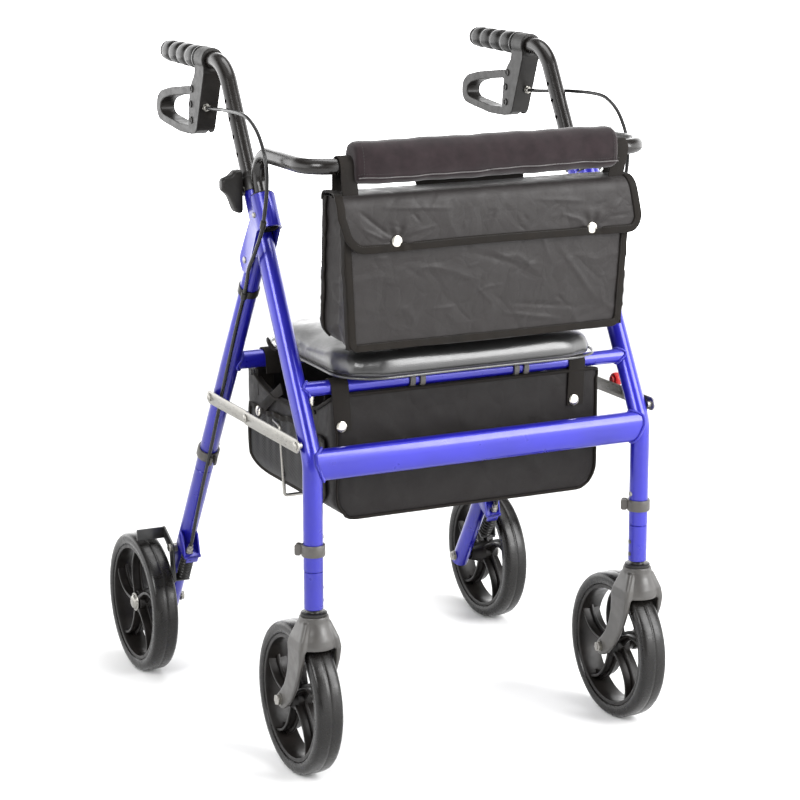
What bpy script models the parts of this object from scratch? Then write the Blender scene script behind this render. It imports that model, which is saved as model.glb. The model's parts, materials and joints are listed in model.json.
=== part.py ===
"""Four-wheel folding rollator with a seat, a backrest, a saddle bag and an under-seat pouch.

Metres, +Z up. The origin is on the floor, midway between the wheels. +Y points where the grips point,
and left (-X) is the left hand of a person who sits on the seat with the back to the backrest.
Every pair is made once on the right (+X) and mirrored to the left.
"""
import math

import bmesh
import bpy
from mathutils import Matrix, Vector

# Driving dimensions
GAP = 0.0003
SLIVER = 0.00002
WHEEL_RADIUS = 0.1015
WHEEL_WIDTH = 0.0366
WHEELBASE = 0.471
CASTER_TRAIL = 0.047
LEG_X = 0.240
WHEEL_LEG_GAP = 0.0130

LEG_RADIUS = 0.0127
LEG_WALL = 0.0013
LOWER_LEG_STEP = 0.0002
LOWER_LEG_WALL = 0.0016
LEG_BEND_RADIUS = 0.050
FRONT_LEG_LEAN = math.radians(29.75)
FRONT_LEG_BEND_Z = 0.4293
FRONT_LEG_END_Z = 0.2856
FRONT_LEG_TOP_Z = 0.756
FRONT_BUTTON_Z = 0.329
REAR_LEG_END_Z = 0.333
REAR_BUTTON_Z = 0.370
LEG_OVERLAP = 0.115
LEG_TRAVEL = 0.050

PIVOT_BEHIND_STEM = 0.1735
PIVOT_Z = 0.659
RIVET_RADIUS = 0.0040
PLATE_THICKNESS = 0.0035
PLATE_END_RADIUS = 0.0165
SOCKET_WALL = 0.0062
SOCKET_LENGTH = 0.046
SOCKET_BELOW_TOP = 0.028
BAR_IN_SOCKET = 0.040

BAR_RADIUS = 0.010
BAR_Z = 0.799
BAR_REAR_BEND = 0.030
BAR_CORNER_BEND = 0.036
BAR_LEG_CLEARANCE = 0.003

PAD_WIDTH = 0.372
PAD_DEPTH = 0.045
PAD_HEIGHT = 0.054
PAD_FORWARD = 0.003
PAD_Z = 0.803

CROSSBAR_Z = 0.4226
CROSSBAR_HEIGHT = 0.041
CROSSBAR_DEPTH = 0.025
SEAT_BAR_FORWARD = 0.0037
SEAT_BAR_Z = 0.511
SEAT_BAR_RADIUS = 0.0095
REAR_BAR_Z = 0.505
REAR_BAR_RADIUS = 0.0127

HANDLE_Z = 0.904
HANDLE_BEND = 0.050
HANDLE_INSERT = 0.130
HANDLE_DROP = 0.100
HANDLE_HOLE_PITCH = 0.025
HANDLE_HOLES = 6
GRIP_END_Y = 0.1975
GRIP_END_WALL = 0.006
KNOB_BELOW_TOP = 0.0092

HOUSING_Y = 0.0462
HOUSING_LENGTH = 0.032
HOUSING_WIDTH = 0.028
HOUSING_RING_WALL = 0.0046
GRIP_FLANGE = 0.0051
HOUSING_REAR_Y = HOUSING_Y + HOUSING_LENGTH / 2
GRIP_START_Y = HOUSING_REAR_Y + GAP
LEVER_WIDTH = 0.022
LEVER_PIVOT_Y = 0.0745
LEVER_PIVOT_Z = 0.8185

STAY_Z = 0.4495
STAY_PIN_OFFSET = 0.005
STAY_FRONT_LENGTH = 0.165
STAY_HEIGHT = 0.018
STAY_THICKNESS = 0.0020

SEAT_WIDTH = 0.380
SEAT_CENTRE_X = -0.010
SEAT_OVERHANG = 0.063
SEAT_BEHIND_BAR = 0.0113
SEAT_CORNER = 0.060
SEAT_UNDERSIDE_Z = 0.5265
SEAT_HEIGHT = 0.048
SEAT_PULL_IN = 0.0035
BOARD_THICKNESS = 0.0050
BOARD_WIDTH = 0.290
CLIP_X = 0.076

BAG_TOP_WIDTH = 0.414
BAG_BOTTOM_WIDTH = 0.380
BAG_IN_FRONT_OF_BAR = 0.022
BAG_BEHIND_BAR = 0.040
BAG_BOTTOM_Z = 0.569
BAG_REAR_BOTTOM_Z = 0.590
BAG_TOP_Z = 0.763
BAG_STRAP_X = 0.1972
BAG_STRAP_WIDTH = 0.0185
STRAP_THICKNESS = 0.0018

POUCH_WIDTH = 0.390
POUCH_IN_FRONT_OF_BAR = 0.0060
POUCH_BEHIND_BAR = 0.0593
POUCH_BOTTOM_Z = 0.335
POUCH_TOP_Z = 0.489
POUCH_WALL = 0.003
POUCH_FRONT_STRAPS_X = (-0.1860, 0.1605)
POUCH_REAR_STRAP_X = 0.1835
POUCH_STRAP_WIDTH = 0.021

WIRE_RADIUS = 0.0023
CABLE_RADIUS = 0.0025
CABLE_OFFSET = 0.022

SHOE_PIVOT_ABOVE_AXLE = 0.1101
SHOE_PIVOT_FORWARD = 0.0011
BOOT_SIDE_OFFSET = 0.006
BOOT_OFFSET = 0.029
BOOT_RADIUS = 0.008
BOOT_LENGTH = 0.046
BOOT_RIBS = 7

# Sides of the round pieces
TUBE_SIDES = 16
SMALL_SIDES = 12
WIRE_SIDES = 8
WHEEL_SIDES = 28

# Colour, roughness and metallic value of each finish
FINISHES = {
    "blue paint": ((0.035, 0.045, 0.62), 0.22, 0.3),
    "black tube": ((0.035, 0.032, 0.030), 0.28, 0.4),
    "grey plastic": ((0.055, 0.056, 0.060), 0.45, 0.0),
    "black plastic": ((0.022, 0.022, 0.024), 0.40, 0.0),
    "rubber": ((0.045, 0.044, 0.043), 0.55, 0.0),
    "zinc": ((0.62, 0.62, 0.60), 0.35, 1.0),
    "black steel": ((0.015, 0.015, 0.016), 0.30, 0.5),
    "vinyl": ((0.050, 0.050, 0.054), 0.42, 0.0),
    "suede": ((0.038, 0.030, 0.032), 0.90, 0.0),
    "nylon": ((0.040, 0.037, 0.037), 0.75, 0.0),
}

# Worked-out radii, and positions across the walker
SLIDING_RADIUS = LEG_RADIUS - LEG_WALL - GAP
LOWER_LEG_RADIUS = LEG_RADIUS - LOWER_LEG_STEP
BORE_RADIUS = SLIDING_RADIUS + GAP
HOUSING_RING = BORE_RADIUS + HOUSING_RING_WALL
REAR_WHEEL_X = LEG_X + LEG_RADIUS + WHEEL_LEG_GAP + WHEEL_WIDTH / 2
CABLE_X = LEG_X + CABLE_OFFSET
BOOT_X = LEG_X + BOOT_SIDE_OFFSET

# Worked-out positions, each as (y, z) in the side view
FRONT_AXLE = Vector((-WHEELBASE / 2, WHEEL_RADIUS))
REAR_AXLE = Vector((WHEELBASE / 2, WHEEL_RADIUS))
STEM_Y = -WHEELBASE / 2 - CASTER_TRAIL
PIVOT = Vector((STEM_Y + PIVOT_BEHIND_STEM, PIVOT_Z))


class Line:
    """A straight axis in the side view; at() steps along it and then to its front."""

    def __init__(self, start, direction):
        self.start = Vector(start)
        self.direction = Vector(direction).normalized()
        self.front = Vector((-self.direction.y, self.direction.x))
        if self.front.x > 0:
            self.front = -self.front

    def at(self, distance, offset=0.0):
        return self.start + self.direction * distance + self.front * offset

    def distance_to_z(self, z):
        return (z - self.start.y) / self.direction.y

    def y_at(self, z):
        """Where the axis crosses a height, to a tenth of a millimetre."""
        return round(self.at(self.distance_to_z(z)).x, 4)


FRONT_LOWER = Line((STEM_Y, FRONT_LEG_END_Z), (0.0, -1.0))
FRONT_UPPER = Line((STEM_Y, FRONT_LEG_BEND_Z), (math.sin(FRONT_LEG_LEAN), math.cos(FRONT_LEG_LEAN)))
REAR_LINE = Line(PIVOT, REAR_AXLE - PIVOT)
REAR_LEG_LENGTH = REAR_LINE.distance_to_z(REAR_LEG_END_Z)
REAR_AXLE_DISTANCE = (REAR_AXLE - PIVOT).length
REAR_LOWER = Line(REAR_LINE.at(REAR_LEG_LENGTH), REAR_LINE.direction)
LEG_TOP_DISTANCE = FRONT_UPPER.distance_to_z(FRONT_LEG_TOP_Z)
SOCKET_OFFSET = LEG_RADIUS + BAR_RADIUS + BAR_LEG_CLEARANCE
SOCKET_TOP = LEG_TOP_DISTANCE - SOCKET_BELOW_TOP
KNOB_CENTRE = FRONT_UPPER.at(LEG_TOP_DISTANCE - KNOB_BELOW_TOP)
SEAT_BAR_Y = FRONT_UPPER.y_at(SEAT_BAR_Z) - SEAT_BAR_FORWARD
REAR_BAR_Y = REAR_LINE.y_at(REAR_BAR_Z)
BAR_FRONT_Y = STEM_Y
PAD_Y = BAR_FRONT_Y - PAD_FORWARD
BAG_FRONT_Y = BAR_FRONT_Y - BAG_IN_FRONT_OF_BAR
BAG_REAR_Y = BAR_FRONT_Y + BAG_BEHIND_BAR
STAY_FRONT_Y = STEM_Y + STAY_PIN_OFFSET
STAY_MIDDLE_Y = STAY_FRONT_Y + STAY_FRONT_LENGTH
STAY_REAR_Y = REAR_LINE.y_at(STAY_Z)
SEAT_FRONT_Y = SEAT_BAR_Y - SEAT_OVERHANG
SEAT_REAR_Y = REAR_BAR_Y + SEAT_BEHIND_BAR
POUCH_FRONT_Y = SEAT_BAR_Y - POUCH_IN_FRONT_OF_BAR
POUCH_REAR_Y = REAR_BAR_Y + POUCH_BEHIND_BAR
SHOE_PIVOT = REAR_LINE.at(REAR_AXLE_DISTANCE - SHOE_PIVOT_ABOVE_AXLE, SHOE_PIVOT_FORWARD)
SHOE_PIVOT_Y = round(SHOE_PIVOT.x, 4)
SHOE_PIVOT_Z = round(SHOE_PIVOT.y, 4)
FORK_TOP_Z = 2 * WHEEL_RADIUS + 0.0238
FORK_SHOULDER_Z = FORK_TOP_Z - 0.0375
STEM_COLLAR_Z = FORK_TOP_Z + 0.0074


def link(name, mesh):
    """Put a mesh in the scene as an object."""
    piece = bpy.data.objects.new(name, mesh)
    bpy.context.scene.collection.objects.link(piece)
    return piece


def mesh_from(name, bm):
    """Close a bmesh into a new object with its faces pointing out."""
    bmesh.ops.recalc_face_normals(bm, faces=bm.faces)
    mesh = bpy.data.meshes.new(name)
    bm.to_mesh(mesh)
    bm.free()
    return link(name, mesh)


def prism(name, outline, low_x, high_x):
    """Extrude a side-view outline of (y, z) points across the walker."""
    bm = bmesh.new()
    corners = [bm.verts.new((low_x, y, z)) for y, z in outline]
    face = bm.faces.new(corners)
    moved = bmesh.ops.extrude_face_region(bm, geom=[face])["geom"]
    top = [item for item in moved if isinstance(item, bmesh.types.BMVert)]
    bmesh.ops.translate(bm, vec=(high_x - low_x, 0.0, 0.0), verts=top)
    return mesh_from(name, bm)


def box(name, low, high):
    """A plain block between two corners."""
    outline = [(low[1], low[2]), (high[1], low[2]), (high[1], high[2]), (low[1], high[2])]
    return prism(name, outline, low[0], high[0])


def tube(name, points, radius, sides=TUBE_SIDES, radii=None):
    """A round rod through 3-D points, solid, with filled ends. radii scale it point by point."""
    curve = bpy.data.curves.new(name, "CURVE")
    curve.dimensions = "3D"
    curve.bevel_depth = radius
    curve.bevel_resolution = (sides - 4) // 2
    curve.use_fill_caps = True
    spline = curve.splines.new("POLY")
    spline.points.add(len(points) - 1)
    for index, point in enumerate(points):
        spline.points[index].co = (*point, 1.0)
        if radii:
            spline.points[index].radius = radii[index] / radius
    guide = link(name, curve)
    depsgraph = bpy.context.evaluated_depsgraph_get()
    mesh = bpy.data.meshes.new_from_object(guide.evaluated_get(depsgraph))
    bpy.data.objects.remove(guide)
    bpy.data.curves.remove(curve)
    bm = bmesh.new()
    bm.from_mesh(mesh)
    bpy.data.meshes.remove(mesh)
    bmesh.ops.remove_doubles(bm, verts=bm.verts, dist=0.00001)
    return mesh_from(name, bm)


def side_tube(name, x, path, radius, sides=TUBE_SIDES):
    """A rod through side-view points, all at one x."""
    return tube(name, [(x, point[0], point[1]) for point in path], radius, sides)


def cross_rod(name, centre, low_x, high_x, radius, sides=SMALL_SIDES):
    """A rod across the walker, round the side-view point centre."""
    ends = [(low_x, centre[0], centre[1]), (high_x, centre[0], centre[1])]
    return tube(name, ends, radius, sides)


def turned_ring(name, profile, centre_x, centre, steps):
    """Spin a closed profile of (x offset, radius) round a cross axis, with a flat at the bottom."""
    bm = bmesh.new()
    half_step = math.pi / steps
    start = Vector((math.sin(half_step), -math.cos(half_step)))
    ring = []
    for offset, radius in profile:
        vertex_radius = radius / math.cos(half_step)
        y = centre[0] + start.x * vertex_radius
        z = centre[1] + start.y * vertex_radius
        ring.append(bm.verts.new((centre_x + offset, y, z)))
    edges = [bm.edges.new((ring[i], ring[(i + 1) % len(ring)])) for i in range(len(ring))]
    bmesh.ops.spin(bm, geom=ring + edges, cent=(centre_x, centre[0], centre[1]), axis=(1.0, 0.0, 0.0),
                   angle=2 * math.pi, steps=steps, use_merge=True)
    bmesh.ops.remove_doubles(bm, verts=bm.verts, dist=0.00001)
    return mesh_from(name, bm)


def combine(piece, tool, operation):
    """Apply a Boolean with a throw-away tool object, and close up the slivers that it leaves."""
    modifier = piece.modifiers.new("combine", "BOOLEAN")
    modifier.operation = operation
    modifier.object = tool
    modifier.solver = "EXACT"
    depsgraph = bpy.context.evaluated_depsgraph_get()
    result = bpy.data.meshes.new_from_object(piece.evaluated_get(depsgraph))
    piece.modifiers.clear()
    bm = bmesh.new()
    bm.from_mesh(result)
    bmesh.ops.remove_doubles(bm, verts=bm.verts, dist=SLIVER)
    bmesh.ops.dissolve_degenerate(bm, dist=SLIVER / 2, edges=bm.edges)
    bm.to_mesh(result)
    bm.free()
    old = piece.data
    piece.data = result
    bpy.data.meshes.remove(old)
    bpy.data.objects.remove(tool)


def join(piece, *tools):
    for tool in tools:
        combine(piece, tool, "UNION")
    return piece


def cut(piece, *tools):
    for tool in tools:
        combine(piece, tool, "DIFFERENCE")
    return piece


def mirrored(piece, name):
    """The same piece on the other side of the walker."""
    bm = bmesh.new()
    bm.from_mesh(piece.data)
    for vertex in bm.verts:
        vertex.co.x = -vertex.co.x
    bmesh.ops.reverse_faces(bm, faces=bm.faces)
    mesh = bpy.data.meshes.new(name)
    bm.to_mesh(mesh)
    bm.free()
    return link(name, mesh)


def finish(piece, finish_name, sharp_degrees=35):
    """Give a piece its own material and smooth shading."""
    colour, roughness, metallic = FINISHES[finish_name]
    material = bpy.data.materials.new(piece.name)
    material.use_nodes = True
    shader = material.node_tree.nodes["Principled BSDF"]
    shader.inputs["Base Color"].default_value = (*colour, 1.0)
    shader.inputs["Roughness"].default_value = roughness
    shader.inputs["Metallic"].default_value = metallic
    piece.data.materials.clear()
    piece.data.materials.append(material)
    piece.data.shade_smooth()
    piece.data.set_sharp_from_angle(angle=math.radians(sharp_degrees))
    return piece


def pair(make, name, finish_name):
    """Make a piece on the right and its mirror image on the left."""
    right = make("right_" + name)
    left = mirrored(right, "left_" + name)
    finish(right, finish_name)
    finish(left, finish_name)


def rounded_path(corners, bends, steps=5):
    """A polyline whose inner corners are replaced by arcs of the given bend radii."""
    corners = [Vector(corner) for corner in corners]
    path = [corners[0]]
    for corner, before, after, bend in zip(corners[1:], corners, corners[2:], bends):
        to_before = (before - corner).normalized()
        to_after = (after - corner).normalized()
        half = to_before.angle(to_after) / 2
        centre = corner + (to_before + to_after).normalized() * (bend / math.sin(half))
        start = corner + to_before * (bend / math.tan(half))
        end = corner + to_after * (bend / math.tan(half))
        first = start - centre
        last = end - centre
        turn = first.angle(last)
        for step in range(steps + 1):
            share = step / steps
            weight_first = math.sin((1 - share) * turn) / math.sin(turn)
            weight_last = math.sin(share * turn) / math.sin(turn)
            path.append(centre + first * weight_first + last * weight_last)
    path.append(corners[-1])
    return path


def circle_points(centre, radius, start_degrees, end_degrees, steps):
    """Points on an arc in the side view, angles counted from +Y towards +Z."""
    points = []
    for step in range(steps + 1):
        angle = math.radians(start_degrees + (end_degrees - start_degrees) * step / steps)
        points.append((centre[0] + radius * math.cos(angle), centre[1] + radius * math.sin(angle)))
    return points


def belt(first, first_radius, second, second_radius, steps=6):
    """The outline of a belt round two circles in the side view."""
    first = Vector(first)
    second = Vector(second)
    run = second - first
    heading = math.degrees(math.atan2(run.y, run.x))
    spread = math.degrees(math.acos((first_radius - second_radius) / run.length))
    outline = circle_points(first, first_radius, heading + spread, heading + 360 - spread, steps)
    outline += circle_points(second, second_radius, heading - spread, heading + spread, steps)
    return outline


def leg_slab(line, start, end, half_depth):
    """The four corners of a strip along an axis, in the side view."""
    return [line.at(start, half_depth), line.at(end, half_depth),
            line.at(end, -half_depth), line.at(start, -half_depth)]


def front_leg_path():
    """The bent axis of a front leg, bottom to top."""
    corners = [(STEM_Y, FRONT_LEG_END_Z), (STEM_Y, FRONT_LEG_BEND_Z), FRONT_UPPER.at(LEG_TOP_DISTANCE)]
    return rounded_path(corners, [LEG_BEND_RADIUS])


def front_leg_cutter(side):
    """Takes the shape of a front leg, with clearance, out of a bar that meets it."""
    return side_tube("cope", side * LEG_X, front_leg_path(), LEG_RADIUS + GAP)


def make_front_leg(name):
    """Outer tube of a front leg: bent once, bored for the handle above and the lower leg below."""
    leg = side_tube(name, LEG_X, front_leg_path(), LEG_RADIUS)
    top = FRONT_UPPER.at(LEG_TOP_DISTANCE + 0.01)
    handle_floor = FRONT_UPPER.at(LEG_TOP_DISTANCE - HANDLE_INSERT - HANDLE_DROP - 0.01)
    handle_bore = side_tube("bore", LEG_X, [handle_floor, top], BORE_RADIUS)
    lower_floor = FRONT_LOWER.at(-LEG_OVERLAP - 0.006)
    lower_bore = side_tube("bore", LEG_X, [FRONT_LOWER.at(0.01), lower_floor], BORE_RADIUS)
    button_hole = cross_rod("hole", (STEM_Y, FRONT_BUTTON_Z), LEG_X - 0.02, LEG_X, BUTTON_RADIUS + GAP)
    bolt_hole = cross_rod("hole", KNOB_CENTRE, LEG_X, LEG_X + 0.02, KNOB_BOLT_RADIUS + GAP)
    return cut(leg, handle_bore, lower_bore, button_hole, bolt_hole)


BUTTON_RADIUS = 0.0035
BUTTON_TRAVEL = 0.003
BUTTON_PROUD = 0.0020
BUTTON_DEPTH = 0.0072
KNOB_BOLT_RADIUS = 0.0035
AXLE_RADIUS = 0.0040
AXLE_HOLE = AXLE_RADIUS + GAP
STEM_RADIUS = 0.0060
COLLAR_RADIUS = 0.0090
FORK_INNER = WHEEL_WIDTH / 2 + 0.0032
FORK_ARM = 0.0060
HUB_RADIUS = 0.0170
RIM_OUTER = WHEEL_RADIUS - 0.0165
RIM_RING = 0.0060
SPOKES = 5


def make_crossbar():
    """Oval bar between the front legs, coped to them."""
    outline = []
    for step in range(TUBE_SIDES):
        angle = 2 * math.pi * (step + 0.5) / TUBE_SIDES
        outline.append((STEM_Y + CROSSBAR_DEPTH / 2 * math.cos(angle),
                        CROSSBAR_Z + CROSSBAR_HEIGHT / 2 * math.sin(angle)))
    bar = prism("crossbar", outline, -LEG_X, LEG_X)
    cut(bar, front_leg_cutter(1), front_leg_cutter(-1))
    return finish(bar, "blue paint")


def make_front_seat_bar():
    """Bar that the seat turns on."""
    bar = cross_rod("front_seat_bar", (SEAT_BAR_Y, SEAT_BAR_Z), -LEG_X, LEG_X, SEAT_BAR_RADIUS, TUBE_SIDES)
    cut(bar, front_leg_cutter(1), front_leg_cutter(-1))
    return finish(bar, "blue paint")


def rear_leg_path():
    return [REAR_LINE.at(-LEG_RADIUS), REAR_LINE.at(REAR_LEG_LENGTH)]


def make_rear_leg(name):
    """Outer tube of a rear leg, hung on the bracket's rivet and bored for the lower leg."""
    leg = side_tube(name, LEG_X, rear_leg_path(), LEG_RADIUS)
    bore = side_tube("bore", LEG_X, [REAR_LINE.at(0.03), REAR_LINE.at(REAR_LEG_LENGTH + 0.01)], BORE_RADIUS)
    rivet_hole = cross_rod("hole", PIVOT, LEG_X - 0.02, LEG_X + 0.02, RIVET_RADIUS + GAP)
    button_centre = REAR_LINE.at(REAR_LINE.distance_to_z(REAR_BUTTON_Z))
    button_hole = cross_rod("hole", button_centre, LEG_X - 0.02, LEG_X, BUTTON_RADIUS + GAP)
    return cut(leg, bore, rivet_hole, button_hole)


def make_rear_seat_bar():
    """Bar between the rear legs that the seat rests on."""
    centre = REAR_LINE.at(REAR_LINE.distance_to_z(REAR_BAR_Z))
    bar = cross_rod("rear_seat_bar", centre, -LEG_X, LEG_X, REAR_BAR_RADIUS - GAP, TUBE_SIDES)
    for side in (1, -1):
        cut(bar, side_tube("cope", side * LEG_X, rear_leg_path(), LEG_RADIUS + GAP))
    return finish(bar, "blue paint")


def make_bracket(name):
    """Folded plate: a socket for the backrest bar in front of the leg, and two ears for the rear leg."""
    ear = []
    socket_low = SOCKET_TOP - SOCKET_LENGTH
    ear += circle_points(PIVOT, PLATE_END_RADIUS, 20, -160, 8)
    ear.append(FRONT_UPPER.at(socket_low, SOCKET_OFFSET - BAR_RADIUS))
    ear.append(FRONT_UPPER.at(socket_low, SOCKET_OFFSET))
    ear.append(FRONT_UPPER.at(SOCKET_TOP, SOCKET_OFFSET))
    ear.append(FRONT_UPPER.at(SOCKET_TOP, SOCKET_OFFSET - BAR_RADIUS))
    ear.append(FRONT_UPPER.at(SOCKET_TOP - 0.020, LEG_RADIUS))
    inner = LEG_RADIUS + GAP
    outer = inner + PLATE_THICKNESS
    socket_axis = [FRONT_UPPER.at(socket_low, SOCKET_OFFSET), FRONT_UPPER.at(SOCKET_TOP, SOCKET_OFFSET)]
    bracket = side_tube(name, LEG_X, socket_axis, BAR_RADIUS + SOCKET_WALL)
    outer_ear = prism("ear", ear, LEG_X + inner, LEG_X + outer)
    inner_ear = prism("ear", ear, LEG_X - outer, LEG_X - inner)
    rivet = cross_rod("rivet", PIVOT, LEG_X - outer - 0.0015, LEG_X + outer + 0.0015, RIVET_RADIUS)
    join(bracket, outer_ear, inner_ear, rivet)
    for side in (1, -1):
        start = LEG_X + side * (outer - 0.0005)
        head = cross_rod("head", PIVOT, min(start, start + side * 0.002), max(start, start + side * 0.002), 0.0070)
        join(bracket, head)
    bar_bore = side_tube("bore", LEG_X, [FRONT_UPPER.at(socket_low - 0.01, SOCKET_OFFSET),
                                         FRONT_UPPER.at(SOCKET_TOP + 0.01, SOCKET_OFFSET)], BAR_RADIUS + GAP)
    leg_bore = side_tube("bore", LEG_X, [FRONT_UPPER.at(LEG_TOP_DISTANCE - 0.20),
                                         FRONT_UPPER.at(LEG_TOP_DISTANCE + 0.02)], LEG_RADIUS + GAP)
    return cut(bracket, bar_bore, leg_bore)


def make_backrest_bar():
    """Bent bar that rises from both sockets, runs forward and crosses in front."""
    low = FRONT_UPPER.at(SOCKET_TOP - BAR_IN_SOCKET, SOCKET_OFFSET)
    bend = FRONT_UPPER.at(FRONT_UPPER.distance_to_z(BAR_Z - FRONT_UPPER.front.y * SOCKET_OFFSET), SOCKET_OFFSET)
    half = [(LEG_X, low.x, low.y), (LEG_X, bend.x, bend.y), (LEG_X, BAR_FRONT_Y, BAR_Z)]
    other = [(-x, y, z) for x, y, z in reversed(half)]
    bends = [BAR_REAR_BEND, BAR_CORNER_BEND, BAR_CORNER_BEND, BAR_REAR_BEND]
    return finish(tube("backrest_bar", rounded_path(half + other, bends, 4), BAR_RADIUS), "black tube")


def soft_ring(half_width, half_depth, corner, pull_in):
    """A rounded rectangle whose sides draw in between their corners, as points round the origin."""
    points = []
    quarters = ((1, 1, 0), (-1, 1, 90), (-1, -1, 180), (1, -1, 270))
    for sign_x, sign_y, start in quarters:
        for step in range(6):
            angle = math.radians(start + 90 * step / 5)
            x = sign_x * (half_width - corner) + corner * math.cos(angle)
            y = sign_y * (half_depth - corner) + corner * math.sin(angle)
            points.append((x, y))
        end = math.radians(start + 90)
        if abs(math.sin(end)) > 0.5:
            middle = (0.0, sign_y * (half_depth - pull_in))
        else:
            middle = (sign_x * (half_width - pull_in), 0.0)
        points.append(middle)
    return points


def loft(name, rings):
    """Skin closed rings of 3-D points that have the same count, and cap both ends."""
    bm = bmesh.new()
    layers = [[bm.verts.new(point) for point in ring] for ring in rings]
    count = len(layers[0])
    for below, above in zip(layers, layers[1:]):
        for index in range(count):
            after = (index + 1) % count
            bm.faces.new((below[index], below[after], above[after], above[index]))
    bm.faces.new(list(reversed(layers[0])))
    bm.faces.new(layers[-1])
    return mesh_from(name, bm)


def make_backrest_pad():
    """Padded sleeve round the middle of the backrest bar, slightly fuller in the middle."""
    rings = []
    layers = 8
    for layer in range(layers + 1):
        share = layer / layers * 2 - 1
        rounding = max(0.0, abs(share) - 0.9) / 0.1
        swell = 0.0012 * (1 - share * share) - 0.005 * rounding
        section = soft_ring(PAD_DEPTH / 2 + swell, PAD_HEIGHT / 2 + swell, 0.014, 0.0)
        x = PAD_WIDTH / 2 * share
        rings.append([(x, PAD_Y + y, PAD_Z + z) for y, z in section])
    pad = loft("backrest_pad", rings)
    bore = cross_rod("bore", (BAR_FRONT_Y, BAR_Z), -PAD_WIDTH, PAD_WIDTH, BAR_RADIUS + GAP, TUBE_SIDES)
    return finish(cut(pad, bore), "suede", 50)


def strap_loop(centre, inner_radius, inner_bottom_z, outer_bottom_z, drop, x, width):
    """A flat strap as a closed loop that hangs round a bar: rounded above, open to the bar inside."""
    arc_centre = (centre[0], centre[1] - drop)
    loops = []
    for radius, bottom in ((inner_radius + STRAP_THICKNESS, outer_bottom_z), (inner_radius, inner_bottom_z)):
        outline = circle_points(arc_centre, radius, 0, 180, 8)
        outline.append((centre[0] - radius, bottom))
        outline.append((centre[0] + radius, bottom))
        grow = 0.0 if radius > inner_radius else 0.002
        loops.append(prism("strap", outline, x - width / 2 - grow, x + width / 2 + grow))
    return cut(loops[0], loops[1])


def make_saddle_bag():
    """Closed bag with a sloping floor, hung from the backrest bar on two strap loops."""
    outline = [(BAG_FRONT_Y, BAG_BOTTOM_Z), (BAG_REAR_Y, BAG_REAR_BOTTOM_Z),
               (BAG_REAR_Y, BAG_TOP_Z - 0.008), (BAG_REAR_Y - 0.008, BAG_TOP_Z),
               (BAG_FRONT_Y + 0.006, BAG_TOP_Z), (BAG_FRONT_Y, BAG_TOP_Z - 0.006)]
    bag = prism("saddle_bag", outline, -1.0, 1.0)
    for vertex in bag.data.vertices:
        share = (vertex.co.z - BAG_BOTTOM_Z) / (BAG_TOP_Z - BAG_BOTTOM_Z)
        vertex.co.x *= (BAG_BOTTOM_WIDTH + (BAG_TOP_WIDTH - BAG_BOTTOM_WIDTH) * share) / 2
    slack = 0.0025
    for side in (1, -1):
        loop = strap_loop((BAR_FRONT_Y, BAR_Z), BAR_RADIUS + slack, BAG_TOP_Z + 0.0015, BAG_TOP_Z - 0.008,
                          slack - 0.0004, side * BAG_STRAP_X, BAG_STRAP_WIDTH)
        join(bag, loop)
    return finish(bag, "nylon")


def make_pouch():
    """Open-topped pouch slung under the seat on straps round both seat bars."""
    half = POUCH_WIDTH / 2
    edge = 0.022
    outline = [(POUCH_FRONT_Y, POUCH_TOP_Z), (POUCH_FRONT_Y, POUCH_BOTTOM_Z + edge),
               (POUCH_FRONT_Y + edge, POUCH_BOTTOM_Z), (POUCH_REAR_Y - edge, POUCH_BOTTOM_Z),
               (POUCH_REAR_Y, POUCH_BOTTOM_Z + edge), (POUCH_REAR_Y, POUCH_TOP_Z)]
    pouch = prism("under_seat_pouch", outline, -half, half)
    wall = POUCH_WALL
    inside = [(POUCH_FRONT_Y + wall, POUCH_TOP_Z + 0.01),
              (POUCH_FRONT_Y + wall, POUCH_BOTTOM_Z + edge),
              (POUCH_FRONT_Y + edge, POUCH_BOTTOM_Z + wall),
              (POUCH_REAR_Y - edge, POUCH_BOTTOM_Z + wall),
              (POUCH_REAR_Y - wall, POUCH_BOTTOM_Z + edge),
              (POUCH_REAR_Y - wall, POUCH_TOP_Z + 0.01)]
    cut(pouch, prism("inside", inside, -half + wall, half - wall))
    rear_bar = REAR_LINE.at(REAR_LINE.distance_to_z(REAR_BAR_Z))
    for x in POUCH_FRONT_STRAPS_X:
        front = strap_loop((SEAT_BAR_Y, SEAT_BAR_Z), SEAT_BAR_RADIUS + GAP, POUCH_TOP_Z - 0.007,
                           POUCH_TOP_Z - 0.009, 0.0, x, POUCH_STRAP_WIDTH)
        join(pouch, front)
    for side in (1, -1):
        x = side * POUCH_REAR_STRAP_X
        rear = strap_loop(rear_bar, REAR_BAR_RADIUS + GAP, POUCH_TOP_Z - 0.017,
                          POUCH_TOP_Z - 0.019, 0.0, x, POUCH_STRAP_WIDTH)
        join(pouch, rear)
    return finish(pouch, "nylon")


def make_bail():
    """Bent wire that hangs at the pouch's sides and passes under its floor."""
    x = POUCH_WIDTH / 2 + WIRE_RADIUS + 2 * GAP
    corner = WIRE_RADIUS + GAP
    floor_z = POUCH_BOTTOM_Z - corner
    half = [(x, -0.0590, 0.4290), (x, -0.0810, 0.4250), (x, -0.0940, floor_z)]
    other = [(-px, y, z) for px, y, z in reversed(half)]
    bail = tube("pouch_bail", rounded_path(half + other, [0.008, corner, corner, 0.008], 3), WIRE_RADIUS, WIRE_SIDES)
    return finish(bail, "zinc")


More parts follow.
